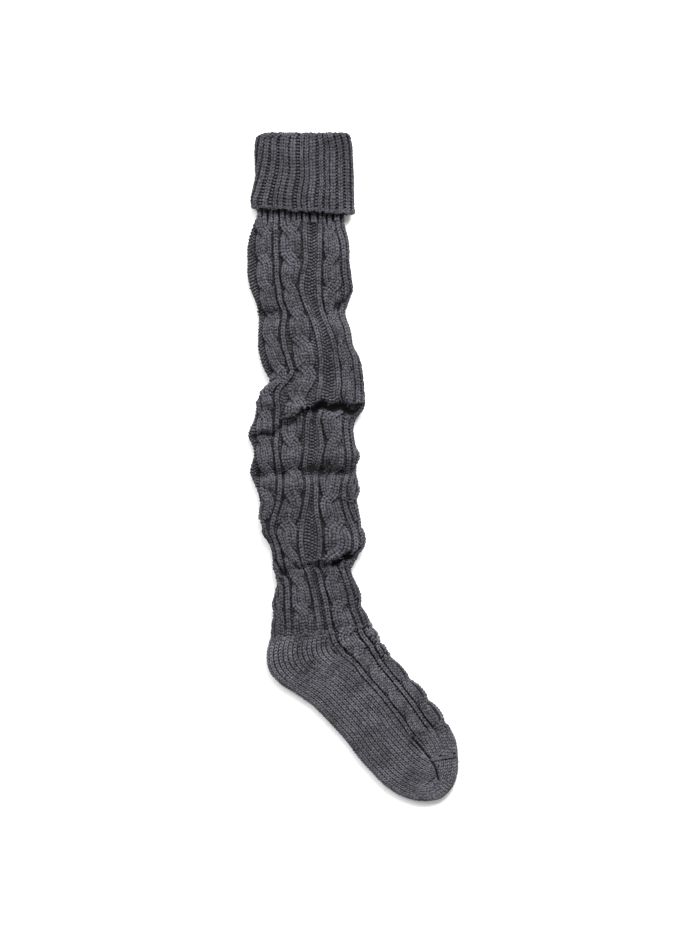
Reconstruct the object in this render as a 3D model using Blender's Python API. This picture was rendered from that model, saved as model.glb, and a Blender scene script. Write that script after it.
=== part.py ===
"""One over-the-knee sock in chunky cable knit, laid flat on its side with the leg bunched into folds.

Lengths are millimetres until a mesh is written. +Y runs up the leg and +X from the back of the sock to its
front, with x = 0 near the front edge of the cuff and y = 0 at the lowest point of the toe. +Z is up, off the
surface that the sock lies on.
"""

import math
from collections import namedtuple

import bmesh
import bpy
import numpy as np

MM = 0.001
SOCK = "over_the_knee_sock"
LAID_CENTRE = (2.25, 333.1)  # the middle of the sock as it lies, which becomes the origin
SEAM_GAP = 0.3

# The knit. A cable is two strands of knit stitches that cross over each other at each twist.
GROUND_WALL = 3.3
FOOT_WALL = 3.0
CABLE_WIDTH = 17.0
CABLE_RISE = 4.2
CABLE_TWIST = 28.0
FIRST_TWIST = 34.0  # how far down the leg the two strands first cross
CABLE_SWING = 0.43  # how far a strand lies from the cable's middle, as a share of half the cable's width
STRAND_HALF = 0.6  # half a strand's width, as a share of the same
RIB_RISE = 1.8
RIB_HALF = 2.1
GUTTER = 4.3  # from a rib's middle to the bottom of the gutter beside it
LADDER_DIP = 1.2
GATHER_RISE = 1.1  # the small pleats where the leg is drawn in under the cuff's hem

# Where rings of corners are taken along the leg and foot.
RING_STEP = 7.2
FOOT_RING_STEP = 6.6
FINE_STRETCHES = ((384.0, 414.0), (232.0, 264.0))  # y, where the deepest folds need twice the rings

# A section runs straight from the back (or sole) edge to the front (or instep) edge. The ribs are distances
# from the back edge, half is half the thickness at the rolled edges, crown is what the middle rises above
# them, and lift is how far the underside is off the surface.
Section = namedtuple("Section", "back_x back_y front_x front_y rib_a rib_b rib_c rib_d half crown lift")
LEG = (
    Section(-91.5, 602.0, -4.5, 602.0, 20.0, 47.0, 62.0, 80.0, 4.1, 0.0, 2.9),
    Section(-92.5, 592.0, -6.0, 592.0, 21.0, 49.0, 64.0, 82.0, 4.1, 0.0, 2.9),
    Section(-96.0, 584.0, -6.5, 584.0, 23.0, 51.0, 66.0, 84.0, 4.1, 0.0, 2.9),
    Section(-99.0, 576.0, -6.0, 576.0, 25.0, 54.0, 69.0, 87.0, 4.9, 0.6, 1.0),
    Section(-101.5, 566.0, -3.5, 566.0, 27.5, 56.5, 71.5, 92.0, 5.2, 1.4, 0.0),
    Section(-103.0, 553.0, -1.0, 553.0, 29.0, 58.5, 73.0, 96.5, 5.4, 1.8, 0.0),
    Section(-103.0, 538.0, -1.0, 538.0, 30.0, 59.0, 72.5, 97.0, 5.4, 1.8, 0.0),
    Section(-103.0, 524.0, 1.0, 524.0, 30.0, 56.0, 72.0, 98.0, 5.4, 2.0, 0.0),
    Section(-100.0, 510.0, 2.5, 510.0, 29.0, 52.0, 69.0, 97.0, 5.2, 1.6, 0.0),
    Section(-95.5, 499.0, -1.5, 499.0, 26.0, 50.5, 65.5, 89.0, 5.0, 1.0, 0.0),
    Section(-92.0, 486.0, -5.0, 486.0, 27.0, 52.0, 66.0, 82.5, 5.0, 1.0, 0.0),
    Section(-92.0, 470.0, 0.0, 470.0, 25.0, 56.0, 70.0, 87.0, 5.4, 1.8, 0.0),
    Section(-92.5, 454.0, 3.0, 454.0, 27.0, 59.0, 75.0, 91.0, 5.4, 2.2, 0.0),
    Section(-90.0, 440.0, 9.5, 440.0, 29.0, 60.0, 76.0, 94.0, 5.4, 2.2, 0.0),
    Section(-85.5, 428.0, 12.0, 428.0, 27.5, 56.5, 73.5, 92.0, 5.2, 1.8, 0.0),
    Section(-80.0, 418.5, 13.0, 418.5, 17.0, 51.0, 69.0, 88.0, 5.2, 2.2, 0.0),
    Section(-88.0, 410.0, 14.0, 410.0, 17.0, 57.0, 76.0, 96.0, 5.6, 2.8, 0.0),
    Section(-93.0, 400.0, 14.5, 400.0, 20.0, 61.0, 80.0, 101.0, 6.0, 3.2, 0.0),
    Section(-94.5, 389.0, 13.5, 389.0, 21.5, 60.0, 78.0, 102.0, 6.0, 2.8, 0.0),
    Section(-97.0, 379.0, 5.0, 379.0, 24.0, 55.0, 65.0, 94.0, 5.6, 1.8, 0.0),
    Section(-101.0, 370.0, 3.0, 370.0, 28.0, 58.5, 71.0, 97.0, 5.4, 1.6, 0.0),
    Section(-102.0, 362.0, 4.0, 362.0, 29.0, 59.0, 73.0, 99.0, 5.4, 1.6, 0.0),
    Section(-97.5, 353.0, 6.0, 353.0, 23.5, 54.5, 69.5, 95.5, 5.2, 1.8, 0.0),
    Section(-96.5, 344.0, 9.0, 344.0, 23.5, 52.5, 66.5, 95.5, 5.4, 2.2, 0.0),
    Section(-100.5, 330.0, 5.5, 330.0, 29.5, 55.5, 67.5, 98.5, 5.4, 2.2, 0.0),
    Section(-98.0, 320.0, 7.0, 320.0, 28.0, 56.0, 63.5, 94.0, 5.2, 1.6, 0.0),
    Section(-93.5, 310.0, 9.0, 310.0, 23.5, 51.5, 60.0, 87.5, 5.2, 1.8, 0.0),
    Section(-90.0, 295.0, 7.5, 295.0, 18.0, 46.0, 56.0, 85.0, 5.2, 1.8, 0.0),
    Section(-90.0, 280.0, 10.0, 280.0, 13.5, 43.0, 58.0, 90.0, 5.4, 2.2, 0.0),
    Section(-87.5, 268.0, 14.0, 268.0, 9.5, 39.0, 57.5, 92.5, 5.6, 2.6, 0.0),
    Section(-80.0, 256.0, 14.5, 256.0, 7.0, 31.0, 50.0, 86.0, 5.6, 2.6, 0.0),
    Section(-77.0, 244.0, 8.5, 244.0, 6.5, 30.0, 45.5, 76.5, 5.4, 2.0, 0.0),
    Section(-76.5, 234.0, 2.0, 234.5, 8.5, 34.0, 48.0, 68.0, 5.0, 1.2, 0.0),
    Section(-74.0, 224.0, 1.0, 228.0, 9.5, 35.0, 48.5, 67.5, 5.0, 1.2, 0.0),
    Section(-74.5, 210.0, 6.5, 216.0, 12.0, 38.5, 53.0, 73.0, 5.2, 1.6, 0.0),
    Section(-77.0, 196.0, 10.5, 204.0, 15.0, 43.0, 58.0, 79.0, 5.2, 1.6, 0.0),
    Section(-77.5, 182.0, 12.5, 193.0, 16.0, 45.0, 60.0, 81.5, 5.2, 1.6, 0.0),
    Section(-79.0, 170.0, 17.0, 184.0, 18.0, 48.0, 63.0, 87.0, 5.2, 1.6, 0.0),
    Section(-80.0, 160.0, 21.5, 176.0, 19.0, 50.0, 65.5, 91.0, 5.0, 1.4, 0.0),
)
# Round the heel the sections fan out, and on the foot they lie across it.
FOOT = (
    LEG[-1],
    Section(-83.0, 148.0, 23.5, 172.0, 20.0, 51.0, 68.0, 96.0, 4.8, 1.4, 0.0),
    Section(-82.5, 136.0, 25.5, 168.0, 20.0, 52.0, 71.5, 99.5, 4.6, 1.4, 0.0),
    Section(-78.5, 126.0, 27.5, 164.5, 20.0, 52.0, 74.0, 100.5, 4.6, 1.4, 0.0),
    Section(-70.0, 117.0, 29.5, 161.0, 18.0, 50.0, 70.5, 98.0, 4.5, 1.4, 0.0),
    Section(-60.0, 110.5, 31.5, 157.5, 16.0, 47.0, 68.0, 92.0, 4.5, 1.4, 0.0),
    Section(-49.0, 103.5, 33.5, 154.5, 14.0, 44.0, 64.0, 85.5, 4.5, 1.4, 0.0),
    Section(-39.0, 96.5, 35.5, 151.5, 13.0, 42.0, 60.0, 81.5, 4.4, 1.4, 0.0),
    Section(-30.0, 88.0, 38.0, 148.0, 12.0, 40.0, 58.0, 78.5, 4.4, 1.4, 0.0),
    Section(-17.0, 74.5, 50.0, 133.0, 12.0, 40.0, 57.5, 76.5, 4.4, 1.4, 0.0),
    Section(-3.0, 59.0, 64.0, 118.0, 12.0, 40.0, 56.5, 75.5, 4.4, 1.4, 0.0),
    Section(9.0, 42.5, 78.0, 102.5, 12.0, 40.0, 58.0, 75.5, 4.4, 1.4, 0.0),
    Section(22.0, 28.0, 90.0, 86.5, 12.0, 38.0, 56.5, 73.5, 4.4, 1.4, 0.0),
    Section(34.0, 16.0, 99.0, 74.0, 11.0, 34.0, 51.5, 70.0, 4.4, 1.2, 0.0),
    Section(47.0, 7.0, 105.5, 60.0, 10.0, 30.0, 46.0, 63.0, 4.3, 1.0, 0.0),
    Section(61.0, 1.5, 107.5, 45.0, 8.0, 22.0, 36.0, 50.0, 4.2, 0.8, 0.0),
    Section(75.0, -0.5, 107.5, 32.0, 6.0, 15.0, 26.0, 35.5, 4.0, 0.6, 0.0),
    Section(87.0, 1.5, 105.0, 20.5, 4.0, 8.0, 14.5, 20.0, 3.6, 0.3, 0.0),
    Section(94.5, 5.5, 101.0, 13.0, 2.0, 4.0, 5.5, 7.0, 2.8, 0.0, 0.0),
)

# A fold is a line across the sock. On its high side the knit rises and hangs over the line, and on its low
# side it sinks and tucks in under it. Side 1 has the high part towards the cuff, and side -1 towards the toe.
Fold = namedtuple("Fold", "back_x back_y mid_y front_x front_y ends side rise sink over tuck reach")
FOLDS = {
    "knee lip": Fold(-80.0, 371.0, 400.0, 40.0, 384.0, 56.0, 1, 8.0, 3.0, 6.0, 5.0, 14.0),
    "knee tuck at the front": Fold(-14.0, 379.0, 382.0, 20.0, 381.0, 8.0, 1, 0.5, 1.5, 1.0, 1.0, 6.0),
    "pinch behind the knee": Fold(-100.0, 404.0, 416.0, -54.0, 428.0, 8.0, -1, 3.5, 2.5, 2.5, 2.0, 8.0),
    "roll behind the knee": Fold(-112.0, 366.0, 368.0, -60.0, 368.0, 10.0, 1, 3.2, 2.6, 2.2, 2.0, 8.0),
    "calf crease": Fold(-92.0, 320.0, 325.0, 24.0, 328.0, 22.0, 1, 2.6, 3.0, 1.8, 1.6, 9.0),
    "dent behind the calf": Fold(-104.0, 315.0, 313.0, -74.0, 312.0, 8.0, 1, 0.5, 2.2, 0.5, 0.5, 7.0),
    "shin crease": Fold(-26.0, 303.0, 300.0, 16.0, 297.0, 10.0, 1, 1.6, 2.2, 1.2, 1.0, 7.0),
    "ankle lip": Fold(-38.0, 237.0, 240.0, 24.0, 258.0, 12.0, 1, 5.0, 3.0, 4.5, 4.0, 11.0),
    "ankle crease": Fold(-68.0, 235.0, 232.0, -32.0, 234.0, 8.0, 1, 1.6, 2.2, 1.0, 1.0, 7.0),
    "heel cord fold": Fold(-84.0, 238.0, 228.0, -58.0, 218.0, 6.0, -1, 2.4, 2.4, 1.5, 1.5, 6.0),
    "thigh pouch": Fold(-20.0, 492.0, 503.0, 12.0, 518.0, 7.0, 1, 2.2, 4.0, 2.4, 2.0, 7.0),
    "dent behind the thigh": Fold(-98.0, 492.0, 490.0, -66.0, 488.0, 9.0, 1, 1.0, 2.4, 0.6, 0.6, 8.0),
}
FOLD_SHARPNESS = 2.4

# The turned-down cuff, from its hem to where it turns over.
CuffRow = namedtuple("CuffRow", "back_x back_y front_x front_y")
CUFF = (
    CuffRow(-97.0, 593.0, 3.8, 586.5),
    CuffRow(-98.0, 600.0, 3.5, 594.5),
    CuffRow(-96.0, 610.0, 3.0, 607.0),
    CuffRow(-93.5, 624.0, 2.8, 622.0),
    CuffRow(-93.5, 640.0, 2.0, 640.0),
    CuffRow(-94.0, 652.0, 1.5, 652.0),
    CuffRow(-94.0, 660.0, 0.5, 660.0),
)
CUFF_HALF = 7.0
CUFF_CROWN = 1.2
CUFF_RIBS = 17
CUFF_RIB_RISE = 1.0
CUFF_POINTS_PER_RIB = 4
CUFF_LEAN = 0.15  # how far round the back edge the ribs have moved at the hem, as a share of the width
FLAP_WALL = 2.6
TURN_HEIGHT = 6.6  # from the last row to the top of the turned edge
HOLLOW_HALF = 1.6
LEG_TOP = 602.0
TURN_STEPS = 4

YARN_COLOUR = (0.075, 0.073, 0.085, 1.0)
YARN_ROUGHNESS = 0.92


def through(rows, place):
    """A row of a table at a place between its rows, on a smooth curve through them."""
    last = len(rows) - 1
    place = min(max(place, 0.0), float(last))
    here = min(int(place), last - 1)
    share = place - here
    near = [np.array(rows[min(max(here + step, 0), last)], dtype=float) for step in (-1, 0, 1, 2)]
    before, start, end, after = near
    slope_in = (end - before) / 2
    slope_out = (after - start) / 2
    a = 2 * share**3 - 3 * share**2 + 1
    b = share**3 - 2 * share**2 + share
    c = share**3 - share**2
    row = a * start + b * slope_in + (1 - a) * end + c * slope_out
    return type(rows[0])(*row)


def edge_to_edge(row):
    """The start, direction and length of the straight line across a row."""
    start = np.array([row.back_x, row.back_y])
    across = np.array([row.front_x, row.front_y]) - start
    width = np.linalg.norm(across)
    return start, across / width, width


def around(width, half):
    """The length round a flat tube's rolled edge, from mid-height to the top, and right over the top."""
    quarter = math.pi * half / 2
    return quarter, width - 2 * half + 2 * quarter


def on_tube(row, half, middle, crown, distance, out=0.0):
    """A point on a flat tube's surface. The distance runs over the top from mid-height of the back edge, and
    below nought or past the front edge it runs down the rolled edge. out moves the point off the surface."""
    start, direction, width = edge_to_edge(row)
    quarter, over = around(width, half)
    if distance < quarter:
        turn = distance / half
        along = half - half * math.cos(turn)
        lean = -math.cos(turn)
    elif distance > over - quarter:
        turn = (over - distance) / half
        along = width - half + half * math.cos(turn)
        lean = math.cos(turn)
    else:
        turn = math.pi / 2
        along = half + distance - quarter
        lean = 0.0
    height = middle + half * math.sin(turn)
    height += crown * math.sin(math.pi * along / width) * max(0.0, math.sin(turn))
    along += out * lean
    height += out * math.sin(turn)
    x, y = start + along * direction
    return x, y, height


def smooth(share):
    share = min(max(share, 0.0), 1.0)
    return share * share * (3 - 2 * share)


def folded(point, top_share):
    """Moves a point of the upper side by the folds that pass near it."""
    x, y, z = point
    slide = 0.0
    rise = 0.0
    for fold in FOLDS.values():
        share = (x - fold.back_x) / (fold.front_x - fold.back_x)
        if not 0 < share < 1:
            continue
        width = fold.front_x - fold.back_x
        weight = smooth(share * width / fold.ends) * smooth((1 - share) * width / fold.ends) * top_share
        bow = fold.mid_y - (fold.back_y + fold.front_y) / 2
        line = fold.back_y + share * (fold.front_y - fold.back_y) + 4 * share * (1 - share) * bow
        past = (line - y) * fold.side
        low = 0.5 + 0.5 * math.tanh(past / FOLD_SHARPNESS)
        fade = math.exp(-abs(past) / fold.reach)
        rise += weight * fade * ((1 - low) * fold.rise - low * fold.sink)
        slide += weight * fade * fold.side * (low * fold.tuck - (1 - low) * fold.over)
    return x, y + slide, z + rise


def cable(across, width, turn, hand):
    """The rise of a two-strand rope cable at a place across it, from -1 to 1."""
    swing = CABLE_SWING * math.tanh(1.5 * math.sin(turn)) * hand
    rise = 0.0
    for centre, front in ((swing, math.cos(turn)), (-swing, -math.cos(turn))):
        strand = 1 - abs((across - centre) / STRAND_HALF) ** 3
        level = 0.84 + (0.16 if front > 0 else 0.5) * front
        rise = max(rise, level * math.sqrt(max(strand, 0.0)))
    return CABLE_RISE * min(1.0, width / CABLE_WIDTH) * rise


def cable_columns(low, high, turn, hand):
    """Corners across one cable, from gutter to gutter, with their rise."""
    columns = []
    for share in (0.0, 0.16, 0.33, 0.5, 0.67, 0.84, 1.0):
        columns.append((low + share * (high - low), cable(2 * share - 1, high - low, turn, hand)))
    return columns


def rib_columns(middle):
    return [(middle - RIB_HALF, RIB_RISE), (middle + RIB_HALF, RIB_RISE)]


def rib_distance(from_back, half):
    """The distance over the top of a rib that lies that far in from the back edge, seen from above."""
    if from_back < half:
        return half * math.acos(1 - from_back / half)
    return from_back - half + math.pi * half / 2


def leg_columns(section, turn):
    """The knit's columns over the top of the leg: cable, rib, cable, rib, ladder, rib, cable, rib, cable."""
    _, _, width = edge_to_edge(section)
    _, over = around(width, section.half)
    a, b, c, d = (rib_distance(rib, section.half) for rib in section[4:8])
    d = min(d, over - 6.5)
    back_cable = max(0.15 * a, a - GUTTER - CABLE_WIDTH)
    front_cable = min(over - 0.15 * (over - d), d + GUTTER + CABLE_WIDTH)
    columns = [(0.0, 0.3)]
    columns += cable_columns(back_cable, a - GUTTER, turn, 1)
    columns += rib_columns(a)
    columns += cable_columns(a + GUTTER, b - GUTTER, turn, 1)
    columns += rib_columns(b)
    columns += [(b + 0.34 * (c - b), -LADDER_DIP), (b + 0.66 * (c - b), -LADDER_DIP)]
    columns += rib_columns(c)
    columns += cable_columns(c + GUTTER, d - GUTTER, turn, -1)
    columns += rib_columns(d)
    columns += cable_columns(d + GUTTER, front_cable, turn, -1)
    columns += [(over, 0.3)]
    return columns


def foot_columns(section, turn):
    """The plain sole, then the rib and cable columns that run on down the instep."""
    _, _, width = edge_to_edge(section)
    _, over = around(width, section.half)
    c, d = (rib_distance(rib, section.half) for rib in (section.rib_c, section.rib_d))
    d = min(d, over - 0.12 * over)
    gutter = min(GUTTER, 0.3 * (d - c))
    columns = [(share * (c - gutter), 0.0) for share in (0.0, 0.12, 0.3, 0.5, 0.7, 0.88, 1.0)]
    size = min(1.0, over / (3 * CABLE_WIDTH))
    rib_half = min(RIB_HALF, 0.5 * gutter)
    columns += [(c - rib_half, size * RIB_RISE), (c + rib_half, size * RIB_RISE)]
    columns += cable_columns(c + gutter, d - gutter, turn, -1)
    columns += [(d - rib_half, size * RIB_RISE), (d + rib_half, size * RIB_RISE)]
    columns += cable_columns(d + gutter, over - 0.08 * (over - d), turn, -1)[1:]
    columns += [(over, 0.2)]
    return columns


def tube_ring(section, columns, relief=1.0, gather=0.0, shift=0.0):
    """A ring of corners round the sock: the columns over the top, the rolled edges and the flat underside.
    Each corner comes with its share of the way round."""
    start, direction, width = edge_to_edge(section)
    quarter, over = around(width, section.half)
    underside = max(section.lift, 0.0)
    middle = underside + section.half
    girth = over + 2 * quarter + width - 2 * section.half
    down = np.array([direction[1], -direction[0]]) * shift
    ring = []
    pleated = [(distance, rise * relief + gather * (number % 2)) for number, (distance, rise) in enumerate(columns)]
    back_edge = [(-quarter, 0.0), (-quarter / 2, 0.0)]
    front_edge = [(over + quarter / 2, 0.0), (over + quarter, 0.0)]
    for distance, rise in back_edge + pleated + front_edge:
        x, y, z = on_tube(section, section.half, middle, section.crown, distance, rise)
        top_share = smooth((z - middle) / section.half)
        x, y, z = folded((x, y, z), top_share)
        ring.append(((distance + quarter) / girth, (x + down[0], y + down[1], z)))
    for share in (0.25, 0.5, 0.75):
        x, y = start + (width - section.half - share * (width - 2 * section.half)) * direction
        distance = over + quarter + share * (width - 2 * section.half)
        ring.append(((distance + quarter) / girth, (x + down[0], y + down[1], underside)))
    return ring


def plain_ring(row, half, middle, shift=0.0):
    """A ring of few corners, for the plain inner surfaces."""
    start, direction, width = edge_to_edge(row)
    quarter, over = around(width, half)
    flat = width - 2 * half
    girth = over + 2 * quarter + flat
    down = np.array([direction[1], -direction[0]]) * shift
    distances = [share * quarter for share in (-1.0, -0.5, 0.0, 0.5, 1.0)]
    distances += [quarter + share * flat for share in (0.25, 0.5, 0.75)]
    distances += [over + share * quarter for share in (-1.0, -0.5, 0.0, 0.5, 1.0)]
    ring = []
    for distance in distances:
        x, y, z = on_tube(row, half, middle, 0.0, distance)
        ring.append(((distance + quarter) / girth, (x + down[0], y + down[1], z)))
    for share in (0.25, 0.5, 0.75):
        x, y = start + (width - half - share * flat) * direction
        distance = over + quarter + share * flat
        ring.append(((distance + quarter) / girth, (x + down[0], y + down[1], middle - half)))
    return ring


def narrowed(row, inset):
    """A row pulled in from both edges."""
    start, direction, width = edge_to_edge(row)
    low = start + inset * direction
    high = start + (width - inset) * direction
    return row._replace(back_x=low[0], back_y=low[1], front_x=high[0], front_y=high[1])


def rib_run(rows, place):
    """How far down the sock, along its middle rib, a place in the table is."""
    points = []
    steps = np.linspace(0.0, place, max(2, int(place * 4)))
    for step in steps:
        section = through(rows, step)
        start, direction, _ = edge_to_edge(section)
        points.append(start + section.rib_c * direction)
    return float(np.linalg.norm(np.diff(points, axis=0), axis=1).sum())


def ring_places(rows, step, fine=()):
    """Places in a table that lie a step apart, measured half along the middle rib and half along the back
    edge, and closer together in the fine stretches."""
    places = np.linspace(0.0, len(rows) - 1.0, 40 * len(rows))
    paces = [0.0]
    before = None
    for place in places:
        section = through(rows, place)
        start, direction, _ = edge_to_edge(section)
        now = np.concatenate([start, start + section.rib_c * direction])
        if before is not None:
            moved = 0.5 * np.linalg.norm((now - before)[:2]) + 0.5 * np.linalg.norm((now - before)[2:])
            if any(low < start[1] < high for low, high in fine):
                moved *= 2
            paces.append(paces[-1] + moved)
        before = now
    count = round(paces[-1] / step)
    return np.interp(np.linspace(0.0, paces[-1], count + 1), paces, places)


def zip_rings(mesh, first, second):
    """Faces between two rings of corners, which may have different counts."""
    i = j = 0
    while i < len(first) or j < len(second):
        next_i = first[i + 1][0] if i + 1 < len(first) else (1.0 if i < len(first) else 9.0)
        next_j = second[j + 1][0] if j + 1 < len(second) else (1.0 if j < len(second) else 9.0)
        a = first[i % len(first)][1]
        b = second[j % len(second)][1]
        if len(first) == len(second):
            c = first[(i + 1) % len(first)][1]
            d = second[(j + 1) % len(second)][1]
            mesh.faces.new((a, b, d, c))
            i += 1
            j += 1
        elif next_i <= next_j:
            mesh.faces.new((a, b, first[(i + 1) % len(first)][1]))
            i += 1
        else:
            mesh.faces.new((a, b, second[(j + 1) % len(second)][1]))
            j += 1


def cap(mesh, ring):
    """Closes a ring with a fan of faces round its middle."""
    corners = [corner for _, corner in ring]
    middle = mesh.verts.new(sum((corner.co for corner in corners[1:]), corners[0].co.copy()) / len(corners))
    for i, corner in enumerate(corners):
        mesh.faces.new((corner, corners[(i + 1) % len(corners)], middle))


def loft(name, rings, looped, material, collection):
    """A closed solid through rings of corners: looped from the last ring to the first, or capped at both."""
    mesh = bmesh.new()
    made = []
    for ring in rings:
        corners = []
        for share, (x, y, z) in ring:
            place = ((x - LAID_CENTRE[0]) * MM, (y - LAID_CENTRE[1]) * MM, z * MM)
            corners.append((share, mesh.verts.new(place)))
        made.append(corners)
    for first, second in zip(made, made[1:]):
        zip_rings(mesh, first, second)
    if looped:
        zip_rings(mesh, made[-1], made[0])
    else:
        cap(mesh, made[0])
        cap(mesh, made[-1])
    bmesh.ops.triangulate(mesh, faces=mesh.faces)
    bmesh.ops.recalc_face_normals(mesh, faces=mesh.faces)
    data = bpy.data.meshes.new(name)
    mesh.to_mesh(data)
    mesh.free()
    data.materials.append(material)
    data.shade_smooth()
    piece = bpy.data.objects.new(name, data)
    collection.objects.link(piece)
    return piece


def yarn_material(name):
    material = bpy.data.materials.new(name)
    material.use_nodes = True
    shader = material.node_tree.nodes["Principled BSDF"]
    shader.inputs["Base Color"].default_value = YARN_COLOUR
    shader.inputs["Roughness"].default_value = YARN_ROUGHNESS
    shader.inputs["Metallic"].default_value = 0.0
    material.diffuse_color = YARN_COLOUR
    return material


def twist(run):
    return math.pi * (run - FIRST_TWIST) / CABLE_TWIST


def relief_below_cuff(y):
    """The cables start flat under the cuff and come up to full height below its hem."""
    return 1 - smooth((y - 568.0) / 14.0)


def gather_below_cuff(y):
    """The pleats start at the hem and have run out where the cables are at full height."""
    return GATHER_RISE * smooth((586.0 - y) / 6.0) * smooth((y - 564.0) / 12.0)


def make_leg(collection):
    outer = []
    places = ring_places(LEG, RING_STEP, FINE_STRETCHES)
    for number, place in enumerate(places):
        section = through(LEG, place)
        turn = twist(rib_run(LEG, place))
        shift = -SEAM_GAP / 2 if number == len(places) - 1 else 0.0
        relief = relief_below_cuff(section.back_y)
        gather = gather_below_cuff(section.back_y)
        outer.append(tube_ring(section, leg_columns(section, turn), relief, gather, shift))
    inner = []
    for section in LEG:
        hollow = section.half - min(GROUND_WALL, section.half - HOLLOW_HALF / 2)
        shift = -SEAM_GAP / 2 if section is LEG[-1] else 0.0
        ring = plain_ring(narrowed(section, section.half - hollow), hollow, section.lift + section.half, shift)
        inner.append(ring)
    return loft("cabled_leg", outer + inner[::-1], True, yarn_material("leg_yarn"), collection)


def make_foot(collection):
    outer = []
    leg_run = rib_run(LEG, len(LEG) - 1.0)
    for number, place in enumerate(ring_places(FOOT, FOOT_RING_STEP)):
        section = through(FOOT, place)
        turn = twist(leg_run + rib_run(FOOT, place))
        shift = SEAM_GAP / 2 if number == 0 else 0.0
        outer.append(tube_ring(section, foot_columns(section, turn), shift=shift))
    inner = []
    for section in FOOT[:-2]:
        hollow = section.half - FOOT_WALL
        shift = SEAM_GAP / 2 if section is FOOT[0] else 0.0
        ring = plain_ring(narrowed(section, FOOT_WALL), hollow, section.lift + section.half, shift)
        inner.append(ring)
    return loft("foot", inner[::-1] + outer, False, yarn_material("foot_yarn"), collection)


def cuff_ring(row, half, fade):
    """A ribbed ring round the cuff. fade is 1 at the hem and 0 at the turned edge, and leans the ribs."""
    start, direction, width = edge_to_edge(row)
    quarter, over = around(width, half)
    flat = width - 2 * half
    girth = over + 2 * quarter + flat
    ring = []
    steps = CUFF_RIBS * CUFF_POINTS_PER_RIB
    for step in range(steps + 1):
        share = step / steps
        distance = over * (share - fade * CUFF_LEAN * (1 - share) ** 3)
        distance = max(distance, -quarter + 0.3 * (step + 1) * fade)
        rise = 0.5 - 0.5 * math.cos(2 * math.pi * step / CUFF_POINTS_PER_RIB)
        rise *= CUFF_RIB_RISE * smooth(1 + distance / quarter)
        point = on_tube(row, half, CUFF_HALF, CUFF_CROWN, distance, rise)
        ring.append(((distance + quarter) / girth, point))
    for distance in (over + quarter / 2, over + quarter):
        ring.append(((distance + quarter) / girth, on_tube(row, half, CUFF_HALF, 0.0, distance)))
    for share in (0.25, 0.5, 0.75, 1.0):
        x, y = start + (width - half - share * flat) * direction
        distance = over + quarter + share * flat
        ring.append((min((distance + quarter) / girth, 0.998), (x, y, CUFF_HALF - half)))
    return ring


def make_cuff(collection):
    rows = len(CUFF) - 1
    hem = narrowed(CUFF[0], 0.9)
    hem = hem._replace(back_y=hem.back_y - 1.2, front_y=hem.front_y - 1.2)
    rings = [cuff_ring(hem, CUFF_HALF - 0.9, 1.0)]
    for number, row in enumerate(CUFF):
        rings.append(cuff_ring(row, CUFF_HALF, 1 - smooth(number / rows)))
    # Over the turned edge, from the outside of the flap to the wall inside it.
    turn_radius = (CUFF_HALF - HOLLOW_HALF) / 2
    for step in range(1, TURN_STEPS + 1):
        angle = math.pi * step / TURN_STEPS
        half = CUFF_HALF - turn_radius * (1 - math.cos(angle))
        row = narrowed(CUFF[-1], CUFF_HALF - half)
        up = TURN_HEIGHT * math.sin(angle)
        row = row._replace(back_y=row.back_y + up, front_y=row.front_y + up)
        if step < TURN_STEPS:
            rings.append(cuff_ring(row, half, 0.0))
        else:
            rings.append(plain_ring(row, half, CUFF_HALF))
    # Down inside, then out over the top of the leg and down the inside of the flap.
    step_y = LEG_TOP + SEAM_GAP
    bottom = narrowed(CUFF[2], CUFF_HALF - HOLLOW_HALF)._replace(back_y=step_y, front_y=step_y)
    rings.append(plain_ring(bottom, HOLLOW_HALF, CUFF_HALF))
    inside = CUFF_HALF - FLAP_WALL
    ledge = narrowed(CUFF[1], FLAP_WALL)._replace(back_y=step_y, front_y=step_y)
    rings.append(plain_ring(ledge, inside, CUFF_HALF))
    rings.append(plain_ring(narrowed(CUFF[0], FLAP_WALL), inside, CUFF_HALF))
    return loft("ribbed_cuff", rings, True, yarn_material("cuff_yarn"), collection)


def main():
    for item in list(bpy.data.objects):
        bpy.data.objects.remove(item, do_unlink=True)
    collection = bpy.data.collections.new(SOCK)
    bpy.context.scene.collection.children.link(collection)
    make_cuff(collection)
    make_leg(collection)
    make_foot(collection)


main()
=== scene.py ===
import math
from collections import namedtuple

import bpy
import numpy as np
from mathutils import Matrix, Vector
from mathutils.bvhtree import BVHTree


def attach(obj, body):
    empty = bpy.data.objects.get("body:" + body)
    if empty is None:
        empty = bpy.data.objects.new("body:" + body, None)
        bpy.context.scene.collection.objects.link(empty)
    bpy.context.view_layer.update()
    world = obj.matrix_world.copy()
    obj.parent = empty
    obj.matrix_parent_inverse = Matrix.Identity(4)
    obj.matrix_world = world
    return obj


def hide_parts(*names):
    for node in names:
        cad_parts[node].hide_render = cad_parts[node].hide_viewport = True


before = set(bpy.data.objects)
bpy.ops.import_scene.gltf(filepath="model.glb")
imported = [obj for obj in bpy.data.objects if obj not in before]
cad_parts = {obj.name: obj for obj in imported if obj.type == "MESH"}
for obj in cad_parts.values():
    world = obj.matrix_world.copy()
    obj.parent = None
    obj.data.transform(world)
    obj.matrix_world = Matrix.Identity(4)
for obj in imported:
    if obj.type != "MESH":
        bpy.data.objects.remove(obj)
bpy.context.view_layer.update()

# ------------------------------
# The leg: one tube of thick wool-blend yarn, knitted from the top down with rope cables, single ribs and
# purl ladders, then laid flat on its side and pushed into folds at the knee, calf and ankle.
# Lengths are millimetres, +Y up the leg and +X from the back of the sock to its front, until a mesh is made.
# ------------------------------
LAID_CENTRE = np.array([2.25, 333.1, 0.0])
WALE = 4.3  # the width of one column of stitches
COURSE = 3.2  # the height of one row of stitches
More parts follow.
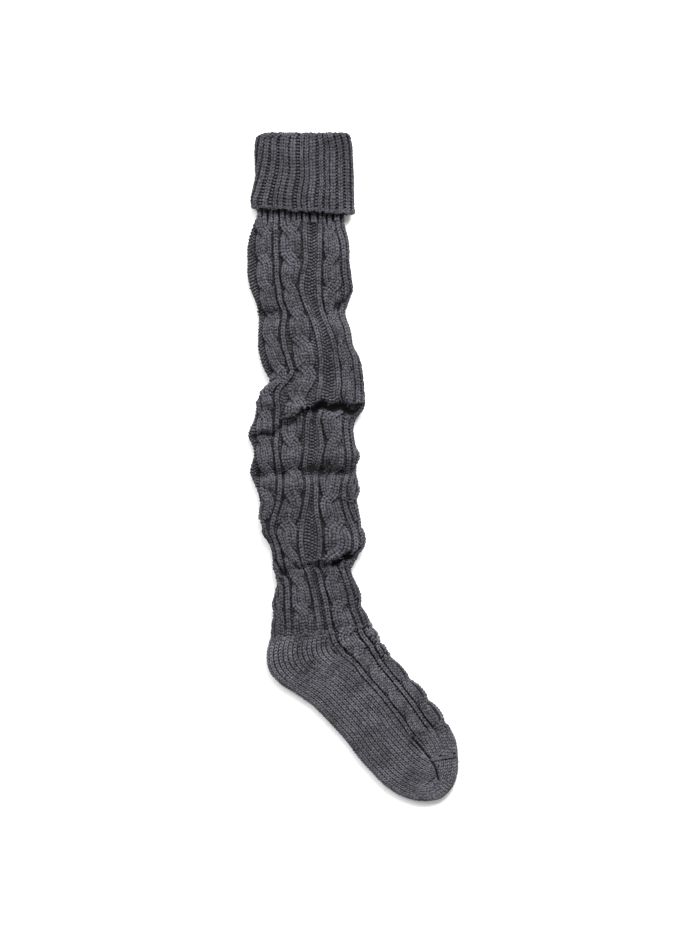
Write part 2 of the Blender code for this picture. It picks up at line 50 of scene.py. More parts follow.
CABLE_WIDTH = 17.0
WIDEST_CABLE = 22.0
CABLE_RISE = 5.2
CABLE_TWIST = 28.0  # from one crossing of the strands to the next
FIRST_TWIST = 34.0
CABLE_SWING = 0.45  # how far a strand swings from the middle, as a share of half the cable's width
CROSSING_STEEPNESS = 1.9  # the strands run side by side, then cross within a few rows
STRAND_HALF = 0.5
STRAND_OVER = 0.16  # how far the strand on top sinks at a crossing, as a share of the cable's rise
STRAND_UNDER = 0.78  # and the one that dives under it
RIB_RISE = 1.8
RIB_HALF = 3.0
RIB_DIP = (1.0, 3.2, 1.1)  # the dip on each side of a rib: its depth, its place and its half width
RIB_WALE = 5.2  # a single rib stands free, so its stitches spread wider than the others
GUTTER = 3.7
LADDER_DIP = 1.2
LADDER_EDGE = 2.5  # from the middle of a rib to the ladder beside it
BESIDE_DIP = 0.9  # how far the knit sinks where a cable is narrow
YARN_DEPTH = 0.9  # how far the cloth behind the stitches lies under their tops
INSIDE_TOP = 3.6  # from the outside to the inside of the cloth, on the upper side
INSIDE_UNDER = 2.4
SHELL_STEP = 2.2  # from one ring of a shell to the next
INNER_STEP = 6  # the inside is smooth, so it keeps only every sixth ring
UNDER_COLUMNS = 40
STITCH_STEP = 0.5  # from one place to the next on the path of a column of stitches

# A section runs straight from the back edge to the front edge. The ribs are distances from the back edge,
# half is half the thickness at the rolled edges, crown is the rise of the middle, lift is off the surface.
Section = namedtuple(
    "Section", "back_x back_y front_x front_y rib_a rib_b rib_c rib_d half crown lift", defaults=(0,)
)
LEG = [Section(*row) for row in (
    (-91.5, 602, -4.5, 602, 20, 47, 62, 80, 4.1, 0, 2.9),
    (-92.5, 592, -6, 592, 21, 49, 64, 82, 4.1, 0, 2.9),
    (-93.5, 584, -6.5, 584, 20.5, 48.5, 63.5, 81.5, 4.1, 0, 2.9),
    (-96.5, 576, -6, 576, 22.5, 51.5, 66.5, 84.5, 4.9, 0.6, 1),
    (-100, 566, -3.5, 566, 26, 55, 70, 90.5, 5.2, 1.4),
    (-103, 553, -1, 553, 29, 58.5, 73, 96.5, 5.4, 1.8),
    (-103, 538, -1, 538, 30, 59, 72.5, 97, 5.4, 1.8),
    (-103, 524, 1, 524, 30, 56, 72, 98, 5.4, 2),
    (-100, 510, 2.5, 510, 29, 52, 69, 97, 5.2, 1.6),
    (-95.5, 499, -1.5, 499, 26, 50.5, 65.5, 89, 5, 1),
    (-92, 486, -5, 486, 27, 52.5, 64.5, 83.5, 5, 1),
    (-92, 470, 0, 470, 25, 58.5, 71.5, 89.5, 5.4, 1.8),
    (-92.5, 454, 3, 454, 27, 62, 77, 93, 5.4, 2.2),
    (-90, 440, 9.5, 440, 29, 61.5, 76.5, 95, 5.4, 2.2),
    (-85.5, 428, 12, 428, 27.5, 56.5, 73.5, 92, 5.2, 1.8),
    (-80, 418.5, 13, 418.5, 17, 51, 69, 88, 5.2, 2.2),
    (-88, 410, 14, 410, 17, 57, 76, 96, 5.6, 2.8),
    (-93, 400, 14.5, 400, 20, 61, 80, 101, 6, 3.2),
    (-94, 395, 14, 395, 22, 58, 68, 99, 6, 3),
    (-94.5, 388, 12.5, 388, 22.5, 56, 66, 96, 6, 2.6),
    (-97, 379, 5, 379, 24, 55, 65, 94, 5.6, 1.8),
    (-101, 370, 3, 370, 28, 58.5, 71, 97, 5.4, 1.6),
    (-102, 362, 4, 362, 29, 59, 73, 99, 5.4, 1.6),
    (-97.5, 353, 6, 353, 23.5, 54.5, 69.5, 95.5, 5.2, 1.8),
    (-96.5, 344, 9, 344, 23.5, 52.5, 66.5, 95.5, 5.4, 2.2),
    (-100.5, 330, 5.5, 330, 29.5, 55.5, 67.5, 98.5, 5.4, 2.2),
    (-98, 320, 7, 320, 28, 56, 63.5, 94, 5.2, 1.6),
    (-93.5, 310, 9, 310, 23.5, 51.5, 60, 87.5, 5.2, 1.8),
    (-90, 295, 7.5, 295, 18, 46, 56, 85, 5.2, 1.8),
    (-90, 280, 10, 280, 13.5, 43, 58, 90, 5.4, 2.2),
    (-87.5, 268, 14, 268, 9.5, 39, 57.5, 92.5, 5.6, 2.6),
    (-80, 256, 14.5, 256, 7, 31, 50, 86, 5.6, 2.6),
    (-77, 244, 8.5, 244, 6.5, 30, 45.5, 76.5, 5.4, 2),
    (-76.5, 234, 2, 234.5, 8.5, 32, 42, 68, 5, 1.2),
    (-74, 224, 1, 228, 9.5, 33.5, 43, 67.5, 5, 1.2),
    (-74.5, 210, 6.5, 216, 12, 37.5, 46.5, 72.5, 5.2, 1.6),
    (-77, 196, 10.5, 204, 15, 43, 52.7, 78.5, 5.2, 1.6),
    (-77.5, 182, 12.5, 193, 16, 45.5, 55.5, 81.5, 5.2, 1.6),
    (-79, 170, 17, 184, 18, 48.8, 58.8, 87, 5.2, 1.6),
    (-80, 160, 21.5, 176, 19, 51, 62, 91, 5, 1.4),
)]

# A fold is a line across the sock. On its high side the knit rises and hangs over the line, and on its low
# side it sinks and tucks in under it. Side 1 has the high part towards the cuff, and side -1 towards the toe.
Fold = namedtuple("Fold", "back_x back_y mid_y front_x front_y ends side rise sink over tuck reach")
FOLDS = {
    "knee lip": Fold(-80, 371, 400, 40, 384, 22, 1, 8, 4, 6, 5, 14),
    "knee tuck at the front": Fold(-14, 379, 382, 20, 381, 8, 1, 0.5, 1.5, 1, 1, 6),
    "pinch behind the knee": Fold(-100, 404, 416, -54, 428, 8, -1, 3.5, 2.5, 2.5, 2, 8),
    "roll behind the knee": Fold(-112, 366, 368, -60, 368, 10, 1, 3.2, 2.6, 2.2, 2, 8),
    "calf crease at the back": Fold(-98, 320, 321.5, -71, 320, 6, -1, 2.4, 2.4, 1.6, 1.6, 8),
    "calf crease in the middle": Fold(-69, 316, 318, -43, 316, 6, -1, 2.4, 2.4, 1.6, 1.6, 8),
    "calf crease at the front": Fold(-32, 322, 324, 2, 321, 6, -1, 2.4, 2.4, 1.6, 1.6, 8),
    "dent behind the calf": Fold(-104, 315, 313, -74, 312, 8, 1, 0.5, 2.2, 0.5, 0.5, 7),
    "shin crease": Fold(-26, 303, 300, 16, 297, 10, 1, 1.6, 2.2, 1.2, 1, 7),
    "ankle lip": Fold(-38, 240, 243.5, 14, 256, 10, 1, 5, 3, 4.5, 4, 10),
    "ankle crease": Fold(-68, 235, 232, -32, 234, 8, 1, 1.6, 2.2, 1, 1, 7),
    "heel cord fold": Fold(-84, 238, 228, -58, 218, 6, -1, 2.4, 2.4, 1.5, 1.5, 6),
    "thigh pouch": Fold(-20, 492, 503, 12, 518, 7, 1, 2.2, 4, 2.4, 2, 7),
    "dent behind the thigh": Fold(-98, 492, 490, -66, 488, 9, 1, 1, 2.4, 0.6, 0.6, 8),
}
FOLD_SHARPNESS = 2.4
# A crease is a soft trough along a line across the sock, where the knit dips between two bulges.
Crease = namedtuple("Crease", "back_x back_y mid_y front_x front_y ends half_width depth")
CREASES = {
    "under the knee lip": Crease(-47, 390, 393.5, 13, 385.5, 15, 5.4, 10.5),
    "back end of the knee lip": Crease(-102, 365, 369, -46, 389, 10, 3, 4.5),
    "above the calf": Crease(-98, 324, 328, 8, 328, 8, 7, 6.4),
    "front of the calf": Crease(-32, 325, 327.5, 3, 324, 6, 3.4, 4),
    "ladder above the calf": Crease(-50, 322, 327, -16, 325, 6, 8, 5.6),
    "under the ankle lip": Crease(-21, 237, 241.5, 5, 246, 5, 4.4, 9),
    "across the ankle": Crease(-60, 234, 234, -12, 236, 7, 3, 4.6),
    "thigh pouch": Crease(-17, 492, 499, 7, 515, 4, 4.2, 7.4),
    "back of the thigh": Crease(-98, 490, 486, -66, 480, 10, 5, 3),
    "behind the ankle": Crease(-79, 242, 233, -60, 221, 3, 2.6, 7),
    "under the hem": Crease(-106, 592, 589, 10, 587, 8, 6, 4.6),
}
WOBBLE = 1.6  # no fold is quite straight
# In creases at least this deep the stitches are left out where dark, and the backing's near-black shows as painted
# shade.
DEEP = 8.0  # in creases as deep as this, the stitches can't be seen
LUMPS = 0.5
# Where the leg is drawn in under the cuff, the middles of the dark gutters between its pleats.
PLEAT_GUTTERS_X = (-82.0, -71.0, -59.0, -48.0, -40.0, -32.0, -23.0, -17.0, -9.0)
PLEAT_DEPTH = 4.8
PLEAT_HALF_WIDTH = 1.9
RIBS_END_Y = (568.0, 582.0)  # up there the leg's ribs and cables sink into the pleats
CABLES_END_Y = (158.0, 182.0)  # and down there, behind the instep, into the heel
LOWEST = 0.8  # the knit on top sinks no lower than this, and below BRAKED it slows down to it
BRAKED = 6.0


def smooth(share):
    share = np.clip(share, 0.0, 1.0)
    return share * share * (3 - 2 * share)


def bell(offset, width):
    return np.exp(-((offset / width) ** 2))


def run_along(path):
    """How far along a path each of its points is."""
    return np.concatenate([[0.0], np.cumsum(np.linalg.norm(np.diff(path, axis=0), axis=1))])


def in_metres(spots):
    """Points in the scene, from points in millimetres on the drawing of the sock."""
    return (np.asarray(spots) - LAID_CENTRE) / 1000


def in_millimetres(spot):
    return np.array(spot) * 1000 + LAID_CENTRE


def placed(name, data):
    """A new object in the scene."""
    made = bpy.data.objects.new(name, data)
    bpy.context.scene.collection.objects.link(made)
    return made


def row_at(rows, place):
    """Rows of a table at places between its rows, on a smooth curve through them."""
    table = np.array(rows, dtype=float)
    last = len(rows) - 1
    place = np.clip(np.asarray(place, dtype=float), 0, last)
    here = np.minimum(place.astype(int), last - 1)
    share = (place - here)[..., None]
    before, start, end, after = (table[np.clip(here + step, 0, last)] for step in (-1, 0, 1, 2))
    a = 2 * share**3 - 3 * share**2 + 1
    b = share**3 - 2 * share**2 + share
    c = share**3 - share**2
    row = a * start + b * (end - before) / 2 + (1 - a) * end + c * (after - start) / 2
    return type(rows[0])(*np.moveaxis(row, -1, 0))


def edge_to_edge(section):
    across = np.stack([section.front_x - section.back_x, section.front_y - section.back_y], -1)
    width = np.linalg.norm(across, axis=-1)
    return across / width[..., None], width


def over_top(section):
    """The length from edge to edge over the top, round both rolled edges."""
    return edge_to_edge(section)[1] + (math.pi - 2) * section.half


def from_edge(inwards, half):
    """The distance over the top of something that lies that far in from the back edge, seen from above."""
    rolled = half * np.arccos(np.clip(1 - inwards / half, -1, 1))
    return np.where(inwards < half, rolled, inwards - half + math.pi * half / 2)


def line_across(bend, x):
    """The share of the way along a fold or crease, its line there, and how fully it shows."""
    width = bend.front_x - bend.back_x
    share = (x - bend.back_x) / width
    weight = smooth(share * width / bend.ends) * smooth((1 - share) * width / bend.ends)
    bow = bend.mid_y - (bend.back_y + bend.front_y) / 2
    line = bend.back_y + share * (bend.front_y - bend.back_y) + 4 * share * (1 - share) * bow
    return line + WOBBLE * np.sin(x / 3.1 + bend.mid_y), weight


def lumps(x, y):
    """The soft unevenness of knit that lies loose."""
    return LUMPS * np.sin(0.19 * x + 1.4 * np.sin(0.083 * y)) * np.sin(0.15 * y + 1.2 * np.sin(0.12 * x))


def in_crease(x, y):
    """How far points lie in the dark of a deep crease, from 0 to 1. Where it is dark enough no stitch is set, and
    the near-black backing shows as painted shade.
    """
    dark = np.zeros_like(x)
    for crease in CREASES.values():
        if crease.depth >= DEEP:
            line, weight = line_across(crease, x)
            dark = np.maximum(dark, weight * bell(y - line, crease.half_width))
    return dark


def folded(x, y, z, top_share):
    """Moves points of the upper side by the folds and pleats that pass near them."""
    slide = np.zeros_like(x)
    rise = np.zeros_like(x)
    for fold in FOLDS.values():
        line, weight = line_across(fold, x)
        past = (line - y) * fold.side
        low = 0.5 + 0.5 * np.tanh(past / FOLD_SHARPNESS)
        fade = np.exp(-np.abs(past) / fold.reach)
        rise += weight * fade * ((1 - low) * fold.rise - low * fold.sink)
        slide += weight * fade * fold.side * (low * fold.tuck - (1 - low) * fold.over)
    for crease in CREASES.values():
        line, weight = line_across(crease, x)
        rise -= weight * crease.depth * bell(y + slide - line, crease.half_width)
    drawn_in = smooth((598.0 - y) / 6.0) * smooth((y - 562.0) / 24.0)
    for gutter in PLEAT_GUTTERS_X:
        rise -= PLEAT_DEPTH * drawn_in * bell(x - gutter, PLEAT_HALF_WIDTH)
    high = z + rise + lumps(x, y)
    room = BRAKED - LOWEST
    high = np.where(high < BRAKED, LOWEST + room * np.exp((np.minimum(high, BRAKED) - BRAKED) / room), high)
    return np.stack([x, y + slide * top_share, z + (high - z) * top_share], -1)


def on_sock(section, distance, out, side=1):
    """Points on the sock. The distance runs from mid-height of the back edge over the top, or under the
    bottom where side is -1, and out moves a point off the surface."""
    direction, width = edge_to_edge(section)
    half = section.half
    quarter = math.pi * half / 2
    over = width - 2 * half + 2 * quarter
    at_back = distance < quarter
    at_front = distance > over - quarter
    turn = np.where(at_back, distance / half, np.where(at_front, (over - distance) / half, math.pi / 2))
    lean = np.where(at_back, -1.0, 1.0) * np.cos(turn) * (at_back | at_front)
    inwards = np.where(at_back, half, np.where(at_front, width - half, half + distance - quarter))
    inwards = inwards + half * lean
    up = np.sin(turn)
    height = half * up
    if side > 0:
        height = height + section.crown * np.sin(math.pi * np.clip(inwards / width, 0, 1)) * np.maximum(up, 0)
    middle = np.maximum(section.lift, 0.0) + half
    x = section.back_x + (inwards + out * lean) * direction[..., 0]
    y = section.back_y + (inwards + out * lean) * direction[..., 1]
    z = middle + side * (height + out * up)
    if side < 0:
        return np.stack([x, y, z], -1)
    return folded(x, y, z, smooth(height / half))


def rib_run(rows, places):
    """How far down the sock, along rib C, the places in a table are."""
    fine = np.linspace(0.0, len(rows) - 1.0, 40 * len(rows))
    section = row_at(rows, fine)
    direction, _ = edge_to_edge(section)
    line = np.stack([section.back_x, section.back_y], -1) + section.rib_c[:, None] * direction
    return np.interp(places, fine, run_along(line))


def even_places(rows, step):
    """Places in a table about a step apart, measured half along rib C and half along the back edge."""
    fine = np.linspace(0.0, len(rows) - 1.0, 40 * len(rows))
    section = row_at(rows, fine)
    back = np.hypot(np.diff(section.back_x), np.diff(section.back_y))
    run = np.concatenate([[0.0], np.cumsum(0.5 * back)]) + 0.5 * rib_run(rows, fine)
    return np.interp(np.linspace(0.0, run[-1], round(run[-1] / step) + 1), run, fine)


def turn_of(run):
    """How far the cables have twisted, as an angle that grows by half a turn from crossing to crossing."""
    return math.pi * (run - FIRST_TWIST) / CABLE_TWIST


def strands(turn, hand):
    """The middle and the level of both strands of a cable, as shares of its half width and its rise. They
    stand highest side by side, and where they cross one dives under the other."""
    swing = CABLE_SWING * np.tanh(CROSSING_STEEPNESS * np.sin(turn)) * hand
    for middle, front in ((swing, np.cos(turn)), (-swing, -np.cos(turn))):
        yield middle, 1.0 - np.where(front > 0, STRAND_OVER, STRAND_UNDER) * front**2


def cable_rise(distance, low, high, turn, hand):
    across = 2 * (distance - low) / (high - low) - 1
    rise = np.zeros_like(across)
    for middle, level in strands(turn, hand):
        strand = 1 - np.abs((across - middle) / STRAND_HALF) ** 3
        rise = np.maximum(rise, level * np.sqrt(np.maximum(strand, 0.0)))
    rise = rise * np.sqrt(np.clip(1 - (across / 1.06) ** 8, 0, 1))
    return CABLE_RISE * np.minimum(1.0, (high - low) / CABLE_WIDTH) * rise


def rib_rise(distance, middle, half):
    return RIB_RISE * np.maximum(0.0, 1 - ((distance - middle) / half) ** 2)


# Where the leg's columns of knit begin and end, as distances over the top, and the width of the gutters beside
# the cables that lie between ribs a and b, and between c and d.
Marks = namedtuple("Marks", "first a b c d last over ab cd")


def leg_marks(section):
    over = over_top(section)
    a, b, c, d = (from_edge(rib, section.half) for rib in section[4:8])
    d = np.minimum(d, over - 6.5)
    first = np.maximum(0.15 * a, a - GUTTER - CABLE_WIDTH)
    last = np.minimum(over - 0.15 * (over - d), d + GUTTER + CABLE_WIDTH)
    ab, cd = (np.minimum(GUTTER, 0.16 * gap) for gap in (b - a, d - c))
    return Marks(first, a, b, c, d, last, over, ab, cd)


def leg_cables(marks):
    """The low edge, high edge and hand of each cable."""
    yield marks.first, marks.a - GUTTER, 1
    spare = np.maximum(0.0, marks.b - marks.a - 2 * marks.ab - WIDEST_CABLE) / 2
    yield marks.a + marks.ab + spare, marks.b - marks.ab - spare, 1
    yield marks.c + marks.cd, marks.d - marks.cd, -1
    yield marks.d + GUTTER, marks.last, -1


def at_heel(section, marks, distance):
    """The cables behind the instep end in the heel's line, and sink almost down to it."""
    low, high = CABLES_END_Y
    return 1 - 0.85 * smooth((high - section.back_y) / (high - low)) * (distance < marks.c - 2.0)


def below_the_pleats(y):
    return 1 - smooth((y - RIBS_END_Y[0]) / (RIBS_END_Y[1] - RIBS_END_Y[0]))


def relief(distance, turn, cables, dip, ribs, half, beside):
    """Cables, with a dip of the knit where they are narrow, and ribs, with a dip beside them on both sides."""
    rise = np.zeros_like(distance)
    for low, high, hand in cables:
        cable = cable_rise(distance, low, high, turn, hand)
        between = (distance > low) & (distance < high)
        rise = rise + cable - dip * between * np.clip(1 - cable / 1.5, 0, 1)
    depth, place, width = beside
    for rib in ribs:
        rise = np.maximum(rise, rib_rise(distance, rib, half))
        rise = rise - depth * bell(np.abs(distance - rib) - place, width)
    return rise


def leg_relief(section, marks, distance, turn):
    rise = relief(distance, turn, leg_cables(marks), BESIDE_DIP, marks[1:5], RIB_HALF, RIB_DIP)
    ladder = (distance - marks.b - LADDER_EDGE) / (marks.c - marks.b - 2 * LADDER_EDGE)
    rise = rise - LADDER_DIP * np.sqrt(np.clip(4 * ladder * (1 - ladder), 0, 1))
    return rise * below_the_pleats(section.back_y) * at_heel(section, marks, distance)


def spread(marks, counts):
    """Distances in even steps between marks, with so many steps from each mark to the next."""
    parts = []
    for low, high, count in zip(marks, marks[1:], counts):
        parts.append(low[..., None] + (high - low)[..., None] * np.arange(count) / count)
    parts.append(marks[-1][..., None])
    return np.concatenate(parts, -1)


def tall(rows):
    """The same sections or marks with an axis for the columns across them."""
    return type(rows)(*(field[..., None] for field in rows))


def tube_rings(section, over_marks, counts, rise_at):
    """Rings round the sock: the outer ones, and a few inner ones that run back up again."""
    wide = tall(section)
    distance = spread(over_marks, counts)
    under = np.linspace(1.0, 0.0, UNDER_COLUMNS + 2)[1:-1] * over_marks[-1][..., None]
    top = on_sock(wide, distance, rise_at(distance) - YARN_DEPTH)
    bottom = on_sock(wide, under, -YARN_DEPTH * np.ones_like(under), -1)
    outer = np.concatenate([top, bottom], 1)
    inner_top = on_sock(wide, distance, -INSIDE_TOP * np.ones_like(distance))
    inner_bottom = on_sock(wide, under, -INSIDE_UNDER * np.ones_like(under), -1)
    inner = np.concatenate([inner_top, inner_bottom], 1)
    picked = sorted(set(range(0, len(inner), INNER_STEP)) | {len(inner) - 1})
    return outer, inner[picked][::-1]


def knit_shell(name, rings, capped, material):
    """A closed mesh through rings that all have the same count, looped, or capped at both ends."""
    rows, columns, _ = rings.shape
    spots = in_metres(rings.reshape(-1, 3)).tolist()
    down, round_it = np.meshgrid(np.arange(rows - 1 if capped else rows), np.arange(columns), indexing="ij")
    here = down * columns
    below = (down + 1) % rows * columns
    beside = (round_it + 1) % columns
    faces = np.stack([here + round_it, here + beside, below + beside, below + round_it], -1).reshape(-1, 4).tolist()
    if capped:
        for ring, turned in ((0, False), (rows - 1, True)):
            spots.append(in_metres(rings[ring].mean(0)).tolist())
            for column in range(columns):
                edge = [ring * columns + column, ring * columns + (column + 1) % columns]
                faces.append((edge if turned else edge[::-1]) + [len(spots) - 1])
    mesh = bpy.data.meshes.new(name)
    mesh.from_pydata(spots, [], faces)
    mesh.validate()
    mesh.calc_loop_triangles()
    places = np.array(spots)
    triangles = np.array([triangle.vertices[:] for triangle in mesh.loop_triangles])
    a, b, c = (places[triangles[:, i]] for i in range(3))
    if np.einsum("ij,ij->i", a, np.cross(b, c)).sum() < 0:
        mesh.flip_normals()
    mesh.shade_smooth()
    mesh.materials.append(material)
    return placed(name, mesh)


def linear(hex_colour):
    """An sRGB hex colour as linear red, green, blue and alpha."""
    shares = [int(hex_colour[i : i + 2], 16) / 255 for i in (1, 3, 5)]
    return tuple(s / 12.92 if s < 0.04045 else ((s + 0.055) / 1.055) ** 2.4 for s in shares) + (1.0,)


def node(tree, kind, inputs=None, **settings):
    """Adds a node with its settings, and sets its inputs, or links them to a socket or a node's first output."""
    made = tree.nodes.new(kind)
    for name, value in settings.items():
        setattr(made, name, value)
    for socket, value in (inputs or {}).items():
        if isinstance(value, bpy.types.Node):
            value = value.outputs[0]
        if isinstance(value, bpy.types.NodeSocket):
            tree.links.new(value, made.inputs[socket])
        else:
            made.inputs[socket].default_value = value
    return made


# The unevenness of yarn, as scale, detail and roughness: soft patches of shade, flecks of fleece, and hairs.
PATCHES = (45.0, 2.0, 0.5)
FLECKS = (430.0, 3.0, 0.65)
HAIRS = (1500.0, 3.0, 0.5)
# The plies are ridges that wind along a loop: how often round it, how steeply, and how high beside the hairs.
PLIES_ROUND = 12.6
PLIES_ALONG = 14.0
PLIES_HEIGHT = 0.3
MATT = {"Roughness": 0.92, "Specular IOR Level": 0.12, "Sheen Weight": 0.05, "Sheen Roughness": 0.5}


def yarn(name, dark, light, fuzz=0.7):
    """Carded wool-blend yarn: dyed in the fleece, so it is matt, slightly uneven in shade, and hairy."""
    material = bpy.data.materials.new(name)
    material.use_nodes = True
    tree = material.node_tree
    where = node(tree, "ShaderNodeTexCoord").outputs["Object"]
    patches, flecks, hairs = (
        node(
            tree, "ShaderNodeTexNoise", {"Vector": where, "Scale": scale, "Detail": detail, "Roughness": roughness}
        ).outputs["Fac"]
        for scale, detail, roughness in (PATCHES, FLECKS, HAIRS)
    )
    both = node(tree, "ShaderNodeMath", {0: patches, 1: 0.5, 2: flecks}, operation="MULTIPLY_ADD")
    shade = node(tree, "ShaderNodeMapRange", {"Value": both, "From Min": 0.55, "From Max": 0.95})
    colour = node(tree, "ShaderNodeMix", {0: shade, 6: linear(dark), 7: linear(light)}, data_type="RGBA")
    ply = node(tree, "ShaderNodeAttribute", attribute_name="ply").outputs["Vector"]
    places = node(tree, "ShaderNodeSeparateXYZ", {0: ply}).outputs
    slant = node(tree, "ShaderNodeMath", {0: places[1], 1: PLIES_ALONG}, operation="MULTIPLY")
    twist = node(tree, "ShaderNodeMath", {0: places[0], 1: PLIES_ROUND, 2: slant}, operation="MULTIPLY_ADD")
    plies = node(tree, "ShaderNodeMath", {0: twist}, operation="SINE")
    height = node(tree, "ShaderNodeMath", {0: plies, 1: PLIES_HEIGHT, 2: hairs}, operation="MULTIPLY_ADD")
    bump = node(tree, "ShaderNodeBump", {"Height": height, "Strength": fuzz, "Distance": 0.0004})
    shader = tree.nodes["Principled BSDF"]
    tree.links.new(colour.outputs[2], shader.inputs["Base Color"])
    tree.links.new(bump.outputs[0], shader.inputs["Normal"])
    for socket, value in MATT.items():
        shader.inputs[socket].default_value = value
    material.diffuse_color = linear(light)
    return material


# The leg's yarn gives the eye a soft charcoal without shine, and darker in the dips between the plies.
leg_yarn = yarn("charcoal_wool_blend_yarn", "#252428", "#514f56")
# The yarn that lies behind the stitches is only seen between them, in their shade, so its colour is painted almost
# black, as painted shade.
painted_shade_backing = yarn("charcoal_yarn_painted_as_shade_behind_the_stitches", "#131214", "#1d1c1e")
# Single fibres let light round them, so they look paler than the yarn they stand off.
wool_fibre = yarn("loose_charcoal_wool_fibre", "#5c5a62", "#83818a", 0.0)

leg_places = even_places(LEG, SHELL_STEP)
leg_section = row_at(LEG, leg_places)
leg_turn = turn_of(rib_run(LEG, leg_places))
marks = leg_marks(leg_section)
zero = np.zeros_like(marks.over)
leg_columns = (
    zero, marks.first, marks.a - GUTTER, marks.a, marks.a + marks.ab, marks.b - marks.ab, marks.b, marks.c,
    marks.c + marks.cd, marks.d - marks.cd, marks.d, marks.d + GUTTER, marks.last, marks.over,
)
LEG_STEPS = (4, 12, 5, 5, 12, 5, 8, 5, 12, 5, 5, 12, 4)  # of the shell, from each of these to the next
tall_marks = tall(marks)
outer, inner = tube_rings(
    leg_section,
    leg_columns,
    LEG_STEPS,
    lambda distance: leg_relief(tall(leg_section), tall_marks, distance, leg_turn[:, None]),
)
# The leg's cloth behind the stitches is painted near-black, as painted shade between them.
leg_knit = knit_shell("leg_knit", np.concatenate([outer, inner]), False, painted_shade_backing)

# ------------------------------
# The leg's stitches, in the same yarn: each knit stitch shows as the two legs of a V, each purl stitch as a
# bump that lies across. A cable's strand is two columns of knit stitches, over or under the other strand.
# ------------------------------
V_LEAN = 0.3  # how far the legs of a V spread, as a slope
V_DIP = 0.16  # how far the far end of a leg dives under the next stitch, as a slope
V_APART = 0.22  # from the middle of a column to the middle of a leg, as a share of the column's width
LOOP_SIDES = 5
LOOP_RINGS = 4
LOOP_TAPER = 0.18
UNEVENNESS = 0.14
FIBRES = 36000.0  # loose ends of wool on each square metre of yarn
FIBRES_ABOVE = 0.006  # lower down they would reach into the floor
FIBRE_LENGTH = (0.002, 0.006)
FIBRE_HALF = 0.011  # half the thickness, as a share of the length


def pick(at_run, run, values):
    values = np.asarray(values, dtype=float)
    if values.ndim == 1:
        return np.interp(at_run, run, values)
    return np.stack([np.interp(at_run, run, column) for column in values.T], -1)


def unit(vectors):
    return vectors / np.maximum(np.linalg.norm(vectors, axis=-1, keepdims=True), 1e-9)


CHANCE = np.random.default_rng(7)
MOVED = 0.12  # how far a loop lies from its even place
LEANT = 0.14


def astray(spots, much):
    """Small chance moves, for no two stitches of a wool yarn lie quite the same."""
    return CHANCE.normal(0.0, much, spots.shape)


def knit_column(
    loops, path, across, width, shown, purl=False, side=1, pitch=COURSE, height=0.95, start=None, loose=1.0
):
    """Adds the stitches of one column to a list of loops, each loop with its middle, direction, face and half
    sizes. They are evenly spaced along the path, from a start that is left to chance if it isn't given."""
    run = run_along(path)
    count = max(1, round(run[-1] / pitch))
    start = CHANCE.uniform(-0.5, 0.5) if start is None else start
    at_run = np.clip((np.arange(count + 2) - 0.5 + start) * run[-1] / count, 0.0, run[-1])
    loose = loose if side > 0 else 0.0
    kept = pick(at_run, run, shown) > 0.5
    if not kept.any():
        return
    at_run = at_run[kept]
    spot = pick(at_run, run, path)
    forward = unit(pick(at_run, run, np.gradient(path, axis=0) / np.gradient(run)[:, None]))
    sideways = unit(pick(at_run, run, across))
    up = unit(np.cross(forward, sideways)) * side
    sideways = unit(sideways - forward * np.sum(sideways * forward, -1, keepdims=True))
    wide = pick(at_run, run, np.broadcast_to(width, run.shape))[:, None]
    ones = np.ones_like(wide)
    if purl:
        size = np.concatenate([0.36 * pitch * ones, 0.56 * wide, 0.72 * height * ones], -1)
        middle = spot + astray(spot, MOVED * loose)
        along = unit(sideways + astray(spot, MOVED * loose))
        loops.append(np.concatenate([middle, along, up, size], -1))
        return
    for hand in (-1, 1):
        middle = spot + sideways * wide * V_APART * hand + astray(spot, MOVED * loose)
        along = unit(forward + sideways * V_LEAN * hand - up * V_DIP * loose + astray(spot, LEANT * loose))
        size = np.concatenate([0.27 * wide, 0.66 * pitch * ones, height * ones], -1)
        loops.append(np.concatenate([middle, along, up, size], -1))


def new_tree(name, start, sizes, result):
    """An empty Geometry Nodes tree with a start, named sizes and a result, and the sockets of its inputs."""
    tree = bpy.data.node_groups.new(name, "GeometryNodeTree")
    tree.interface.new_socket(start, in_out="INPUT", socket_type="NodeSocketGeometry")
    for label, value in sizes.items():
        kind = "NodeSocketInt" if isinstance(value, int) else "NodeSocketFloat"
        tree.interface.new_socket(label, in_out="INPUT", socket_type=kind).default_value = value
    tree.interface.new_socket(result, in_out="OUTPUT", socket_type="NodeSocketGeometry")
    return tree, node(tree, "NodeGroupInput").outputs


